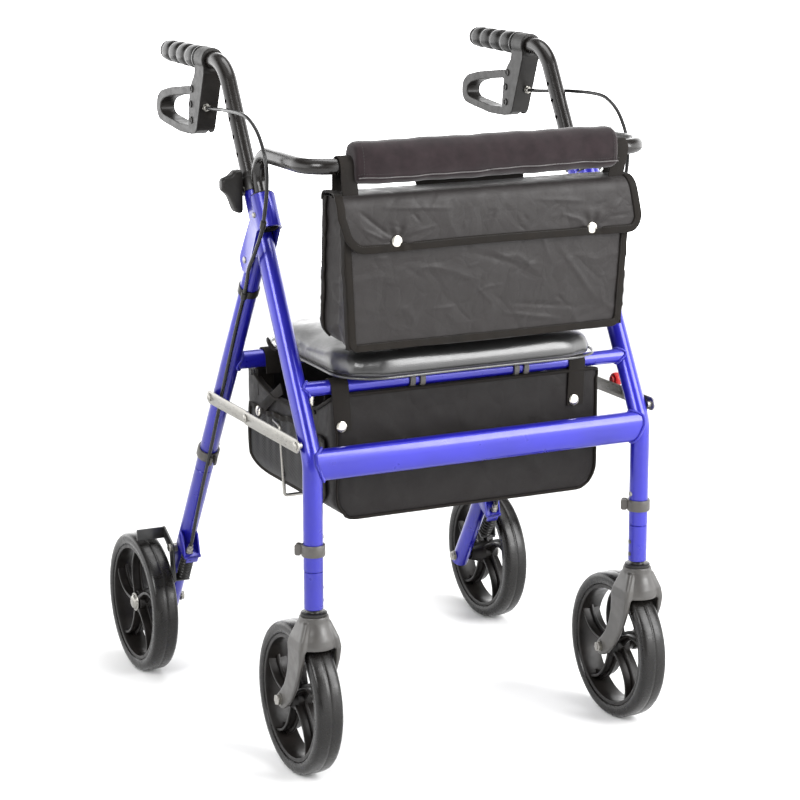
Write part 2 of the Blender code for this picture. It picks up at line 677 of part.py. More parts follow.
def make_seat_cushion():
    """Crowned cushion: a seam near its foot, sides that draw in, and a low front edge."""
    half_width = SEAT_WIDTH / 2
    half_depth = (SEAT_REAR_Y - SEAT_FRONT_Y) / 2
    middle_y = (SEAT_REAR_Y + SEAT_FRONT_Y) / 2
    layers = ((0.0060, 0.00), (0.0012, 0.07), (0.0000, 0.17), (0.0030, 0.25), (0.0008, 0.38),
              (0.0050, 0.54), (0.0180, 0.68), (0.0450, 0.82), (0.0850, 0.93), (0.1200, 1.00))
    rings = []
    for inset, rise in layers:
        corner = max(0.020, SEAT_CORNER - inset)
        ring = soft_ring(half_width - inset, half_depth - inset, corner, SEAT_PULL_IN)
        z = SEAT_UNDERSIDE_Z + SEAT_HEIGHT * rise
        rings.append([(SEAT_CENTRE_X + x, middle_y + y, z) for x, y in ring])
    return finish(loft("seat_cushion", rings), "vinyl", 60)


def make_seat_board():
    """Board under the cushion: two clips that turn on the front bar, two feet on the rear bar."""
    top = SEAT_UNDERSIDE_Z - GAP
    bottom = top - BOARD_THICKNESS
    rear_edge = SEAT_REAR_Y - 0.010
    board = box("seat_board", (-BOARD_WIDTH / 2, SEAT_FRONT_Y + 0.030, bottom),
                (BOARD_WIDTH / 2, rear_edge, top))
    clip_radius = SEAT_BAR_RADIUS + 0.0032
    rear_bar = REAR_LINE.at(REAR_LINE.distance_to_z(REAR_BAR_Z))
    foot_low = rear_bar.y + REAR_BAR_RADIUS + GAP
    for side in (1, -1):
        low_x = side * CLIP_X - 0.011
        high_x = side * CLIP_X + 0.011
        clip = cross_rod("clip", (SEAT_BAR_Y, SEAT_BAR_Z), low_x, high_x, clip_radius, TUBE_SIDES)
        neck = box("neck", (low_x, SEAT_BAR_Y - 0.010, SEAT_BAR_Z + 0.004),
                   (high_x, SEAT_BAR_Y + 0.010, bottom + 0.001))
        foot = box("foot", (side * 0.12 - 0.012, rear_edge - 0.014, foot_low),
                   (side * 0.12 + 0.012, rear_edge - 0.001, bottom + 0.001))
        join(board, clip, neck, foot)
    cut(board, cross_rod("bore", (SEAT_BAR_Y, SEAT_BAR_Z), -LEG_X, LEG_X, SEAT_BAR_RADIUS + GAP, TUBE_SIDES))
    return finish(board, "grey plastic")


def make_handle_tube(name):
    """Black tube that slides in the front leg, bends to the level grip, with a row of height holes."""
    low = FRONT_UPPER.at(LEG_TOP_DISTANCE - HANDLE_INSERT)
    bend = FRONT_UPPER.at(FRONT_UPPER.distance_to_z(HANDLE_Z))
    end = Vector((GRIP_END_Y - GRIP_END_WALL - GAP, HANDLE_Z))
    handle = side_tube(name, LEG_X, rounded_path([low, bend, end], [HANDLE_BEND], 6), SLIDING_RADIUS)
    for hole in range(HANDLE_HOLES):
        centre = FRONT_UPPER.at(LEG_TOP_DISTANCE - KNOB_BELOW_TOP + hole * HANDLE_HOLE_PITCH)
        cut(handle, cross_rod("hole", centre, LEG_X - 0.02, LEG_X + 0.02, 0.0031, WIRE_SIDES))
    return handle


def make_grip(name):
    """Rubber grip with a flange, finger swells and a closed end."""
    profile = ((0.000, GRIP_FLANGE), (0.005, GRIP_FLANGE), (0.007, 0.0031), (0.030, 0.0036), (0.038, 0.0024),
               (0.060, 0.0034), (0.068, 0.0024), (0.092, 0.0032), (0.100, 0.0024), (0.124, 0.0032),
               (0.132, 0.0024), (0.1355, -0.0004))
    stretch = (GRIP_END_Y - GRIP_START_Y) / profile[-1][0]
    points = [(LEG_X, GRIP_START_Y + along * stretch, HANDLE_Z) for along, _ in profile]
    grip = tube(name, points, 0.015, TUBE_SIDES, [BORE_RADIUS + wall for _, wall in profile])
    bore = tube("bore", [(LEG_X, GRIP_START_Y - 0.01, HANDLE_Z),
                         (LEG_X, GRIP_END_Y - GRIP_END_WALL, HANDLE_Z)], BORE_RADIUS)
    return cut(grip, bore)


def make_housing(name):
    """Brake housing: a clamp ring on the handle tube over a body that is slotted for the lever."""
    front = HOUSING_Y - HOUSING_LENGTH / 2
    rear = HOUSING_REAR_Y
    foot = (LEVER_PIVOT_Y, LEVER_PIVOT_Z)
    outline = [(rear, HANDLE_Z), (front, HANDLE_Z), (front, HANDLE_Z - 0.009)]
    outline += circle_points(foot, 0.0165, 195, 370, 8)
    outline.append((rear, HANDLE_Z - BORE_RADIUS - GRIP_FLANGE - 0.0010))
    body = prism(name, outline, LEG_X - HOUSING_WIDTH / 2, LEG_X + HOUSING_WIDTH / 2)
    ring = tube("ring", [(LEG_X, front + 0.0002, HANDLE_Z), (LEG_X, rear - 0.0002, HANDLE_Z)], HOUSING_RING)
    join(body, ring)
    bore = tube("bore", [(LEG_X, front - 0.01, HANDLE_Z), (LEG_X, rear + 0.01, HANDLE_Z)], BORE_RADIUS)
    slot_half = LEVER_WIDTH / 2 + GAP
    slot = box("slot", (LEG_X - slot_half, LEVER_PIVOT_Y - 0.0105, LEVER_PIVOT_Z - 0.04),
               (LEG_X + slot_half, LEVER_PIVOT_Y + 0.05, LEVER_PIVOT_Z + 0.0535))
    cut(body, bore, slot)
    pin = cross_rod("pin", foot, LEG_X - HOUSING_WIDTH / 2 + 0.001, LEG_X + HOUSING_WIDTH / 2 - 0.001, 0.003)
    return join(body, pin)


def lever_point(dy, dz):
    """A side-view point given from the lever's pivot."""
    return (LEVER_PIVOT_Y + dy, LEVER_PIVOT_Z + dz)


def make_lever(name):
    """Loop brake lever: a long D in the side view, hung on the housing's pin."""
    outside = [lever_point(dy, dz) for dy, dz in (
        (0.0055, 0.0475), (0.0230, 0.0450), (0.1110, 0.0265), (0.1390, 0.0155), (0.1485, 0.0035),
        (0.1450, -0.0065), (0.1280, -0.0125), (0.0590, -0.0200), (0.0110, -0.0190))]
    outside += circle_points(lever_point(0, 0), 0.0095, 260, 130, 6)
    inside = [lever_point(dy, dz) for dy, dz in (
        (0.0165, 0.0375), (0.0280, 0.0355), (0.1050, 0.0190), (0.1300, 0.0105), (0.1365, 0.0025),
        (0.1310, -0.0040), (0.1210, -0.0060), (0.0590, -0.0120), (0.0200, -0.0110))]
    lever = prism(name, outside, LEG_X - LEVER_WIDTH / 2, LEG_X + LEVER_WIDTH / 2)
    cut(lever, prism("inside", inside, LEG_X - LEVER_WIDTH, LEG_X + LEVER_WIDTH))
    hole = cross_rod("hole", lever_point(0, 0), LEG_X - LEVER_WIDTH, LEG_X + LEVER_WIDTH, 0.003 + GAP)
    return cut(lever, hole)


def make_knob(name):
    """Wing knob on the outside of the leg, with its bolt's tip in the leg's wall."""
    inner_x = LEG_X + 0.0190
    wings = []
    for x, half_tall, half_thick in ((inner_x, 0.0285, 0.0100), (inner_x + 0.012, 0.0285, 0.0100),
                                     (inner_x + 0.026, 0.0130, 0.0075)):
        y, z = KNOB_CENTRE
        wings.append([(x, y + half_thick, z + half_tall), (x, y - half_thick, z + half_tall),
                      (x, y - half_thick, z - half_tall), (x, y + half_thick, z - half_tall)])
    knob = loft(name, wings)
    boss = cross_rod("boss", KNOB_CENTRE, inner_x - 0.004, inner_x + 0.002, 0.0075)
    bolt = cross_rod("bolt", KNOB_CENTRE, LEG_X + BORE_RADIUS + GAP, inner_x, KNOB_BOLT_RADIUS)
    return join(knob, boss, bolt)


def make_lower_leg(name, line, end, button_distance):
    """Lower leg: a visible foot tube below the joint, and a thinner hollow tube inside the outer leg."""
    foot = side_tube(name, LEG_X, [line.at(GAP), line.at(end)], LOWER_LEG_RADIUS)
    stem = side_tube("stem", LEG_X, [line.at(-LEG_OVERLAP), line.at(0.004)], SLIDING_RADIUS)
    join(foot, stem)
    bore = side_tube("bore", LEG_X, [line.at(-LEG_OVERLAP - 0.01), line.at(0.010)],
                     SLIDING_RADIUS - LOWER_LEG_WALL)
    slot_end = BUTTON_RADIUS + 0.001
    slot = prism("slot", leg_slab(line, button_distance + slot_end, button_distance - LEG_TRAVEL - slot_end,
                                  BUTTON_RADIUS + 0.0005), LEG_X - 0.02, LEG_X)
    return cut(foot, bore, slot)


def make_front_lower_leg(name):
    """Front lower leg, bored below for the caster's stem."""
    end = FRONT_LEG_END_Z - STEM_COLLAR_Z - GAP
    leg = make_lower_leg(name, FRONT_LOWER, end, FRONT_LEG_END_Z - FRONT_BUTTON_Z)
    bore = side_tube("bore", LEG_X, [FRONT_LOWER.at(end + 0.01), FRONT_LOWER.at(end - 0.026)],
                     STEM_RADIUS + GAP, SMALL_SIDES)
    return cut(leg, bore)


def make_rear_lower_leg(name):
    """Rear lower leg with the axle's hole and the brake bracket on its front."""
    button = REAR_LINE.distance_to_z(REAR_BUTTON_Z) - REAR_LEG_LENGTH
    end = REAR_AXLE_DISTANCE - REAR_LEG_LENGTH + 0.014
    leg = make_lower_leg(name, REAR_LOWER, end, button)
    plate_top = BRACKET_DISTANCE - REAR_LEG_LENGTH
    plate = prism("plate", [REAR_LOWER.at(plate_top, 0.005), REAR_LOWER.at(plate_top, BOOT_OFFSET + 0.009),
                            REAR_LOWER.at(plate_top + BRACKET_THICKNESS, BOOT_OFFSET + 0.009),
                            REAR_LOWER.at(plate_top + BRACKET_THICKNESS, 0.005)],
                  LEG_X - 0.009, BOOT_X + 0.009)
    web = prism("web", [REAR_LOWER.at(plate_top - 0.018, 0.005), REAR_LOWER.at(plate_top - 0.018, 0.016),
                        REAR_LOWER.at(plate_top + 0.001, BOOT_OFFSET - 0.004),
                        REAR_LOWER.at(plate_top + 0.001, 0.005)], LEG_X - 0.009, LEG_X - 0.006)
    join(leg, plate, web)
    axle_hole = cross_rod("hole", REAR_AXLE, LEG_X - 0.02, LEG_X + 0.02, AXLE_HOLE)
    return cut(leg, axle_hole)


BRACKET_THICKNESS = 0.0040
BRACKET_DISTANCE = REAR_AXLE_DISTANCE - 0.1277
BOOT_TOP = BRACKET_DISTANCE + BRACKET_THICKNESS + GAP


def make_button(line_point):
    """Spring button in a leg's inner side."""
    def make(name):
        proud_x = LEG_X - LEG_RADIUS - BUTTON_PROUD
        return cross_rod(name, line_point, proud_x, proud_x + BUTTON_DEPTH, BUTTON_RADIUS)
    return make


def make_fork(name):
    """Caster fork: a bell-shaped crown over the tyre and two arms that sweep back to the axle."""
    crown = tube(name, [(LEG_X, STEM_Y, FORK_SHOULDER_Z - 0.004), (LEG_X, STEM_Y, FORK_SHOULDER_Z + 0.012),
                        (LEG_X, STEM_Y, FORK_TOP_Z - 0.009), (LEG_X, STEM_Y, FORK_TOP_Z - 0.008),
                        (LEG_X, STEM_Y, FORK_TOP_Z)], 0.0185, TUBE_SIDES,
                 [0.0280, 0.0255, 0.0200, 0.0185, 0.0185])
    collar = tube("collar", [(LEG_X, STEM_Y, FORK_TOP_Z - 0.004), (LEG_X, STEM_Y, STEM_COLLAR_Z)],
                  COLLAR_RADIUS, SMALL_SIDES)
    stem = tube("stem", [(LEG_X, STEM_Y, FORK_TOP_Z - 0.004), (LEG_X, STEM_Y, STEM_COLLAR_Z + 0.024)],
                STEM_RADIUS, SMALL_SIDES)
    join(crown, collar, stem)
    arm = belt((STEM_Y + 0.001, FORK_SHOULDER_Z - 0.004), 0.0215, FRONT_AXLE, 0.0125)
    for side in (1, -1):
        near = LEG_X + side * (FORK_INNER - 0.0005)
        far = LEG_X + side * (FORK_INNER + FORK_ARM)
        join(crown, prism("arm", arm, min(near, far), max(near, far)))
    wheel_room = cross_rod("room", FRONT_AXLE, LEG_X - FORK_INNER, LEG_X + FORK_INNER,
                           WHEEL_RADIUS + 0.004, WHEEL_SIDES)
    axle_hole = cross_rod("hole", FRONT_AXLE, LEG_X - 0.05, LEG_X + 0.05, AXLE_HOLE)
    return cut(crown, wheel_room, axle_hole)


def make_tyre(centre_x, centre):
    """Solid tyre with rounded shoulders and a flat foot."""
    half = WHEEL_WIDTH / 2
    inner = RIM_OUTER + GAP
    profile = [(-half + 0.0018, inner), (-half, inner + 0.006), (-half + 0.0014, WHEEL_RADIUS - 0.0040),
               (-half + 0.0075, WHEEL_RADIUS)]
    profile += [(-offset, radius) for offset, radius in reversed(profile)]

    def make(name):
        return turned_ring(name, profile, centre_x, centre, WHEEL_SIDES)
    return make


def make_rim(centre_x, centre, hub_low, hub_high):
    """Moulded rim: a ring, a hub with the axle's bore, and swept spokes between them."""
    half = WHEEL_WIDTH / 2 - 0.0030
    profile = [(-half, RIM_OUTER - RIM_RING), (-half, RIM_OUTER), (half, RIM_OUTER), (half, RIM_OUTER - RIM_RING)]

    def spoke(index):
        first = []
        second = []
        for step in range(4):
            share = step / 3
            radius = HUB_RADIUS - 0.004 + (RIM_OUTER - RIM_RING + 0.003 - HUB_RADIUS + 0.004) * share
            angle = 2 * math.pi * index / SPOKES + math.radians(24) * share * share
            width = 0.0050 + 0.0010 * abs(2 * share - 1)
            radial = Vector((math.cos(angle), math.sin(angle)))
            across = Vector((-radial.y, radial.x))
            first.append(centre + radial * radius + across * width)
            second.append(centre + radial * radius - across * width)
        return prism("spoke", first + second[::-1], centre_x - 0.0095, centre_x + 0.0095)

    def make(name):
        rim = turned_ring(name, profile, centre_x, centre, WHEEL_SIDES)
        hub = cross_rod("hub", centre, hub_low, hub_high, HUB_RADIUS, TUBE_SIDES)
        for index in range(SPOKES):
            join(hub, spoke(index))
        join(rim, hub)
        return cut(rim, cross_rod("bore", centre, hub_low - 0.01, hub_high + 0.01, AXLE_HOLE))
    return make


def make_axle(centre, low_x, high_x, head, nut):
    """Axle bolt with a hexagon head and nut outside the span low_x to high_x."""
    def make(name):
        axle = cross_rod(name, centre, low_x - nut + 0.0005, high_x + head - 0.0005, AXLE_RADIUS)
        join(axle, cross_rod("head", centre, high_x, high_x + head, 0.0085, 6))
        return join(axle, cross_rod("nut", centre, low_x - nut, low_x, 0.0075, 6))
    return make


STAY_REAR_LAYER = LEG_X + LEG_RADIUS + 0.0036
STAY_FRONT_LAYER = STAY_REAR_LAYER + STAY_THICKNESS + GAP


def make_stay(start_y, end_y, layer, pin_y):
    """A flat stay link with round ends and a pin that reaches the leg."""
    def make(name):
        strip = belt((start_y, STAY_Z), STAY_HEIGHT / 2, (end_y, STAY_Z), STAY_HEIGHT / 2, 5)
        stay = prism(name, strip, layer, layer + STAY_THICKNESS)
        pin_start = LEG_X + LEG_RADIUS + GAP
        return join(stay, cross_rod("pin", (pin_y, STAY_Z), pin_start, layer + 0.001, 0.0040))
    return make


def make_shoe(name):
    """Folded steel shoe lever: an arm beside the wheel, a shoe over the tyre and a tab under the boot."""
    low_x = LEG_X + LEG_RADIUS + 0.0058
    high_x = low_x + 0.0030
    pivot = Vector((SHOE_PIVOT_Y, SHOE_PIVOT_Z))
    tab_line = Line(REAR_LINE.at(BOOT_TOP + BOOT_LENGTH + GAP), REAR_LINE.direction)
    shoe_foot = REAR_AXLE + (Vector((-0.0296, 0.1011))).normalized() * (WHEEL_RADIUS + 0.0033)
    lever = prism(name, belt(pivot, 0.0085, shoe_foot + Vector((0.0, 0.0095)), 0.0075, 5), low_x, high_x)
    toe = tab_line.at(0.0016, BOOT_OFFSET)
    join(lever, prism("toe", belt(pivot, 0.0080, toe, 0.0070, 5), low_x + 0.00005, high_x - 0.00005))
    plate_low = shoe_foot + Vector((-0.0016, 0.0))
    plate_high = shoe_foot + Vector((-0.0016, 0.0165))
    width = Vector((0.0032, 0.0))
    blade = prism("blade", [plate_low, plate_low + width, plate_high + width, plate_high],
                  low_x + 0.001, REAR_WHEEL_X + WHEEL_WIDTH / 2 - 0.0005)
    tab = prism("tab", [tab_line.at(0.0, BOOT_OFFSET - 0.008), tab_line.at(0.0, BOOT_OFFSET + 0.0065),
                        tab_line.at(0.0026, BOOT_OFFSET + 0.0065), tab_line.at(0.0026, BOOT_OFFSET - 0.008)],
                BOOT_X - 0.0085, low_x + 0.001)
    join(lever, blade, tab)
    return cut(lever, cross_rod("hole", pivot, low_x - 0.01, high_x + 0.01, 0.0035 + GAP))


def make_shoe_bolt(name):
    """Pivot bolt of the shoe lever, standing on the lower leg's outer side."""
    centre = (SHOE_PIVOT_Y, SHOE_PIVOT_Z)
    arm = LEG_X + LEG_RADIUS + 0.0058
    bolt = cross_rod(name, centre, LEG_X + LOWER_LEG_RADIUS + GAP, arm + 0.0055, 0.0035)
    collar = cross_rod("collar", centre, LEG_X + LOWER_LEG_RADIUS + GAP, arm - GAP, 0.0060)
    head = cross_rod("head", centre, arm + 0.0030 + GAP, arm + 0.0065, 0.0065, 6)
    return join(bolt, collar, head)


def make_boot(name):
    """Ribbed rubber boot over the brake's return spring, from the bracket to the lever's tab."""
    points = []
    radii = []
    steps = BOOT_RIBS * 2
    for step in range(steps + 1):
        place = REAR_LINE.at(BOOT_TOP + BOOT_LENGTH * step / steps, BOOT_OFFSET)
        points.append((BOOT_X, place.x, place.y))
        radii.append(BOOT_RADIUS if step % 2 else BOOT_RADIUS * 0.82)
    boot = tube(name, points, BOOT_RADIUS, WIRE_SIDES, radii)
    bore = side_tube("bore", BOOT_X, [REAR_LINE.at(BOOT_TOP - 0.01, BOOT_OFFSET),
                                      REAR_LINE.at(BOOT_TOP + BOOT_LENGTH + 0.01, BOOT_OFFSET)],
                     CABLE_RADIUS, WIRE_SIDES)
    return cut(boot, bore)


def smooth_route(points, spacing):
    """Points at an even spacing on a smooth curve through the given ones."""
    points = [Vector(point) for point in points]
    padded = [points[0] * 2 - points[1]] + points + [points[-1] * 2 - points[-2]]
    dense = []
    for index in range(1, len(padded) - 2):
        before, start, end, after = padded[index - 1:index + 3]
        for step in range(24):
            t = step / 24
            dense.append(0.5 * (2 * start + (end - before) * t + (2 * before - 5 * start + 4 * end - after) * t ** 2
                                + (3 * start - before - 3 * end + after) * t ** 3))
    dense.append(points[-1])
    length = sum((b - a).length for a, b in zip(dense, dense[1:]))
    count = round(length / spacing)
    route = [dense[0]]
    walked = 0.0
    for a, b in zip(dense, dense[1:]):
        walked += (b - a).length
        if walked >= len(route) * length / count and len(route) < count:
            route.append(b)
    route.append(dense[-1])
    return route


def make_cable(name):
    """Brake cable: forward from the housing, over and down past the bracket, then down the rear leg."""
    route = [(0.2440, 0.0484, 0.8395), (0.2455, 0.0225, 0.8405), (0.2495, -0.0085, 0.8430),
             (0.2552, -0.0400, 0.8460), (0.2582, -0.0650, 0.8475), (0.2606, -0.1025, 0.8490),
             (CABLE_X, -0.1375, 0.8470),
             (CABLE_X, -0.1676, 0.8345), (CABLE_X, -0.1875, 0.8150), (CABLE_X, -0.1995, 0.7920),
             (CABLE_X, -0.2005, 0.7680), (CABLE_X, -0.1955, 0.7450), (CABLE_X, -0.1825, 0.7090),
             (0.2610, -0.1545, 0.6750), (0.2600, -0.1325, 0.6530), (0.2560, -0.1150, 0.6330)]
    beside_leg = ((0.050, 0.0125, 0.2515), (0.100, 0.0125, 0.2512), (0.170, 0.0135, 0.2500),
                  (0.240, 0.0150, 0.2485), (0.320, 0.0170, 0.2465), (0.400, 0.0200, 0.2460),
                  (0.465, 0.0250, 0.2460), (0.500, BOOT_OFFSET, BOOT_X),
                  (BRACKET_DISTANCE - GAP, BOOT_OFFSET, BOOT_X))
    for distance, offset, x in beside_leg:
        place = REAR_LINE.at(distance, offset)
        route.append((x, place.x, place.y))
    return tube(name, smooth_route(route, 6 * CABLE_RADIUS), CABLE_RADIUS, WIRE_SIDES)


def joint_empty(name, place, parent=None):
    """An empty on a joint's axis."""
    empty = bpy.data.objects.new(name, None)
    empty.empty_display_size = 0.03
    empty.location = place
    bpy.context.scene.collection.objects.link(empty)
    if parent:
        empty.parent = parent[0]
        empty.matrix_parent_inverse = Matrix.Translation(parent[1]).inverted()
    return (empty, Vector(place))


def hang(joint, *names):
    """Parent pieces to a joint's empty without moving them."""
    for name in names:
        piece = bpy.data.objects[name]
        piece.parent = joint[0]
        piece.matrix_parent_inverse = Matrix.Translation(joint[1]).inverted()


def build_pieces():
    """Every piece of the walker, each as its own object."""
    pair(make_front_leg, "front_leg", "blue paint")
    make_crossbar()
    make_front_seat_bar()
    pair(make_bracket, "pivot_bracket", "blue paint")
    pair(make_rear_leg, "rear_leg", "blue paint")
    make_rear_seat_bar()
    make_backrest_bar()
    make_backrest_pad()
    make_saddle_bag()
    make_pouch()
    make_bail()
    make_seat_cushion()
    make_seat_board()
    pair(make_handle_tube, "handle_tube", "black tube")
    pair(make_grip, "grip", "rubber")
    pair(make_housing, "brake_housing", "grey plastic")
    pair(make_lever, "brake_lever", "grey plastic")
    pair(make_knob, "height_knob", "grey plastic")
    pair(make_front_lower_leg, "front_lower_leg", "blue paint")
    pair(make_rear_lower_leg, "rear_lower_leg", "blue paint")
    pair(make_button((STEM_Y, FRONT_BUTTON_Z)), "front_leg_button", "zinc")
    rear_button = REAR_LINE.at(REAR_LINE.distance_to_z(REAR_BUTTON_Z))
    pair(make_button(rear_button), "rear_leg_button", "zinc")
    pair(make_fork, "caster_fork", "black plastic")
    pair(make_tyre(LEG_X, FRONT_AXLE), "front_tyre", "rubber")
    pair(make_tyre(REAR_WHEEL_X, REAR_AXLE), "rear_tyre", "rubber")
    front_hub = FORK_INNER - 0.0006
    pair(make_rim(LEG_X, FRONT_AXLE, LEG_X - front_hub, LEG_X + front_hub), "front_rim", "black plastic")
    rear_hub_low = LEG_X + LOWER_LEG_RADIUS + 2 * GAP
    rear_hub_high = REAR_WHEEL_X + 0.0115
    pair(make_rim(REAR_WHEEL_X, REAR_AXLE, rear_hub_low, rear_hub_high), "rear_rim", "black plastic")
    arm_outside = FORK_INNER + FORK_ARM + GAP
    pair(make_axle(FRONT_AXLE, LEG_X - arm_outside, LEG_X + arm_outside, 0.0045, 0.0045), "front_axle", "zinc")
    rear_inside = LEG_X - LOWER_LEG_RADIUS - GAP
    pair(make_axle(REAR_AXLE, rear_inside, rear_hub_high + GAP, 0.0062, 0.0055), "rear_axle", "zinc")
    pair(make_stay(STAY_FRONT_Y, STAY_MIDDLE_Y, STAY_FRONT_LAYER, STAY_FRONT_Y), "front_stay", "zinc")
    pair(make_stay(STAY_MIDDLE_Y, STAY_REAR_Y, STAY_REAR_LAYER, STAY_REAR_Y), "rear_stay", "zinc")
    pair(make_shoe, "brake_shoe", "black steel")
    pair(make_shoe_bolt, "brake_pivot_bolt", "zinc")
    pair(make_boot, "brake_boot", "rubber")
    pair(make_cable, "brake_cable", "black plastic")


def build_joints():
    """Empties on the joint axes, with the moving pieces hung on them."""
    fold = joint_empty("fold_axis", (0.0, PIVOT.x, PIVOT.y))
    seat = joint_empty("seat_axis", (0.0, SEAT_BAR_Y, SEAT_BAR_Z))
    bag = joint_empty("bag_axis", (0.0, BAR_FRONT_Y, BAR_Z))
    hang(fold, "left_rear_leg", "right_rear_leg", "rear_seat_bar")
    hang(seat, "seat_cushion", "seat_board")
    hang(bag, "saddle_bag")
    leg_top = FRONT_UPPER.at(LEG_TOP_DISTANCE)
    for side, sign in (("left_", -1), ("right_", 1)):
        x = sign * LEG_X
        handle = joint_empty(side + "handle_slide", (x, leg_top.x, leg_top.y))
        hang(handle, side + "handle_tube", side + "grip", side + "brake_housing", side + "brake_cable")
        lever = joint_empty(side + "lever_axis", (x, LEVER_PIVOT_Y, LEVER_PIVOT_Z), handle)
        hang(lever, side + "brake_lever")
        knob = joint_empty(side + "knob_axis", (x, KNOB_CENTRE.x, KNOB_CENTRE.y))
        hang(knob, side + "height_knob")
        front_leg = joint_empty(side + "front_leg_slide", (x, STEM_Y, FRONT_LEG_END_Z))
        hang(front_leg, side + "front_lower_leg")
        front_button = joint_empty(side + "front_button_slide", (x, STEM_Y, FRONT_BUTTON_Z))
        hang(front_button, side + "front_leg_button")
        caster = joint_empty(side + "caster_axis", (x, STEM_Y, FORK_TOP_Z), front_leg)
        hang(caster, side + "caster_fork", side + "front_axle")
        front_wheel = joint_empty(side + "front_wheel_axis", (x, FRONT_AXLE.x, FRONT_AXLE.y), caster)
        hang(front_wheel, side + "front_tyre", side + "front_rim")
        rear_end = REAR_LINE.at(REAR_LEG_LENGTH)
        rear_leg = joint_empty(side + "rear_leg_slide", (x, rear_end.x, rear_end.y), fold)
        hang(rear_leg, side + "rear_lower_leg", side + "rear_axle", side + "brake_pivot_bolt",
             side + "brake_boot")
        rear_place = REAR_LINE.at(REAR_LINE.distance_to_z(REAR_BUTTON_Z))
        rear_button = joint_empty(side + "rear_button_slide", (x, rear_place.x, rear_place.y), fold)
        hang(rear_button, side + "rear_leg_button")
        wheel_x = sign * REAR_WHEEL_X
        rear_wheel = joint_empty(side + "rear_wheel_axis", (wheel_x, REAR_AXLE.x, REAR_AXLE.y), rear_leg)
        hang(rear_wheel, side + "rear_tyre", side + "rear_rim")
        shoe = joint_empty(side + "shoe_axis", (x, SHOE_PIVOT_Y, SHOE_PIVOT_Z), rear_leg)
        hang(shoe, side + "brake_shoe")
        front_stay = joint_empty(side + "front_stay_axis", (x, STAY_FRONT_Y, STAY_Z))
        hang(front_stay, side + "front_stay")
        rear_stay = joint_empty(side + "rear_stay_axis", (x, STAY_REAR_Y, STAY_Z), fold)
        hang(rear_stay, side + "rear_stay")


def main():
    for old in list(bpy.data.objects):
        bpy.data.objects.remove(old)
    build_pieces()
    build_joints()


main()
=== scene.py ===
# %% [markdown]
# # A folding walker with a seat
#
# This lesson dresses a walker: four wheels, a blue tube frame that folds, two loop brakes, a vinyl
# seat, a padded backrest and two cloth bags. The frame comes first, as plain solids that already have
# the right size and place. Each later step makes one piece of the real thing, or one finish, around it.
# Sizes are metres, or millimetres where mm() says so. +Y is the way the grips point, and left is -X.

# %% Load the frame
import json
import math
import random

import bmesh
import bpy
import numpy as np
from mathutils import Matrix, Vector
from mathutils import noise as cloth_noise

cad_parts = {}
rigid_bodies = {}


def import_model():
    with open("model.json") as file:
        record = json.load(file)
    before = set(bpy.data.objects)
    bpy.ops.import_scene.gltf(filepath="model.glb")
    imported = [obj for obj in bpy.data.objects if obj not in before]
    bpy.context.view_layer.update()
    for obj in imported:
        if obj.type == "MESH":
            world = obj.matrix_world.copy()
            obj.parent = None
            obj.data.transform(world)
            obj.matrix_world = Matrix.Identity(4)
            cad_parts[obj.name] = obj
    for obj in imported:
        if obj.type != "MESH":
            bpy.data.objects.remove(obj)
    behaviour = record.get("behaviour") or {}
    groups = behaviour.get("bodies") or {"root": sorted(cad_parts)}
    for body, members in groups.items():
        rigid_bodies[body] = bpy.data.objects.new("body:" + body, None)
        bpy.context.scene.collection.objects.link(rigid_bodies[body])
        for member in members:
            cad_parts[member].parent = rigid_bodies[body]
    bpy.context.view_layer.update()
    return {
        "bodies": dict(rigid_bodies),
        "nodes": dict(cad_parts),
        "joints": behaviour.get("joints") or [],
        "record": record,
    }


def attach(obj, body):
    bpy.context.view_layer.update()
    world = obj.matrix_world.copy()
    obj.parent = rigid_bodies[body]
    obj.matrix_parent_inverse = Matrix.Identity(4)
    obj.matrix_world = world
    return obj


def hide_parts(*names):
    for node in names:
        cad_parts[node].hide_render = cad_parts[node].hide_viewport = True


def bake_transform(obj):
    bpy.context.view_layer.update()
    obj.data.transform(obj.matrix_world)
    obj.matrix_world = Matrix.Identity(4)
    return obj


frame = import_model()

SIDES = (("left", -1), ("right", 1))

# %% [markdown]
# ## The studio
#
# Gloss is only as good as what it reflects. In the photograph the tubes carry two bright bands with deep
# blue between them: a white sweep burns out behind and at both sides, and the room round the camera is
# dark. So the sky here has a brightness for every direction, and three soft boxes add the highlights:
# one to the left, one high on the right, and one overhead for the long line on the crossbar.
#
# The camera repeats the photograph's view. It stands 3.4 m off with a long lens, a little above the
# seat, and looks at the front casters and the saddle bag.

# %% Camera
VIEW_TARGET = Vector((-0.001, -0.0425, 0.432))
VIEW_AZIMUTH = math.radians(-25.87)
VIEW_ELEVATION = math.radians(13.31)
VIEW_ROLL = math.radians(-0.1)
VIEW_DISTANCE = 3.418
LENS = 111.24
SENSOR = 36.0


def link(name, data):
    """Put a mesh, a light or a camera in the scene."""
    piece = bpy.data.objects.new(name, data)
    bpy.context.scene.collection.objects.link(piece)
    return piece


camera = link("camera", bpy.data.cameras.new("camera"))
camera.data.lens = LENS
camera.data.sensor_width = SENSOR
back = Vector((math.sin(VIEW_AZIMUTH) * math.cos(VIEW_ELEVATION), -math.cos(VIEW_AZIMUTH)
    * math.cos(VIEW_ELEVATION), math.sin(VIEW_ELEVATION)))
turn = back.to_track_quat("Z", "Y").to_matrix() @ Matrix.Rotation(VIEW_ROLL, 3, "Z")
camera.matrix_world = Matrix.Translation(VIEW_TARGET + back * VIEW_DISTANCE) @ turn.to_4x4()
bpy.context.scene.camera = camera
print("camera at", [round(v, 3) for v in camera.location])


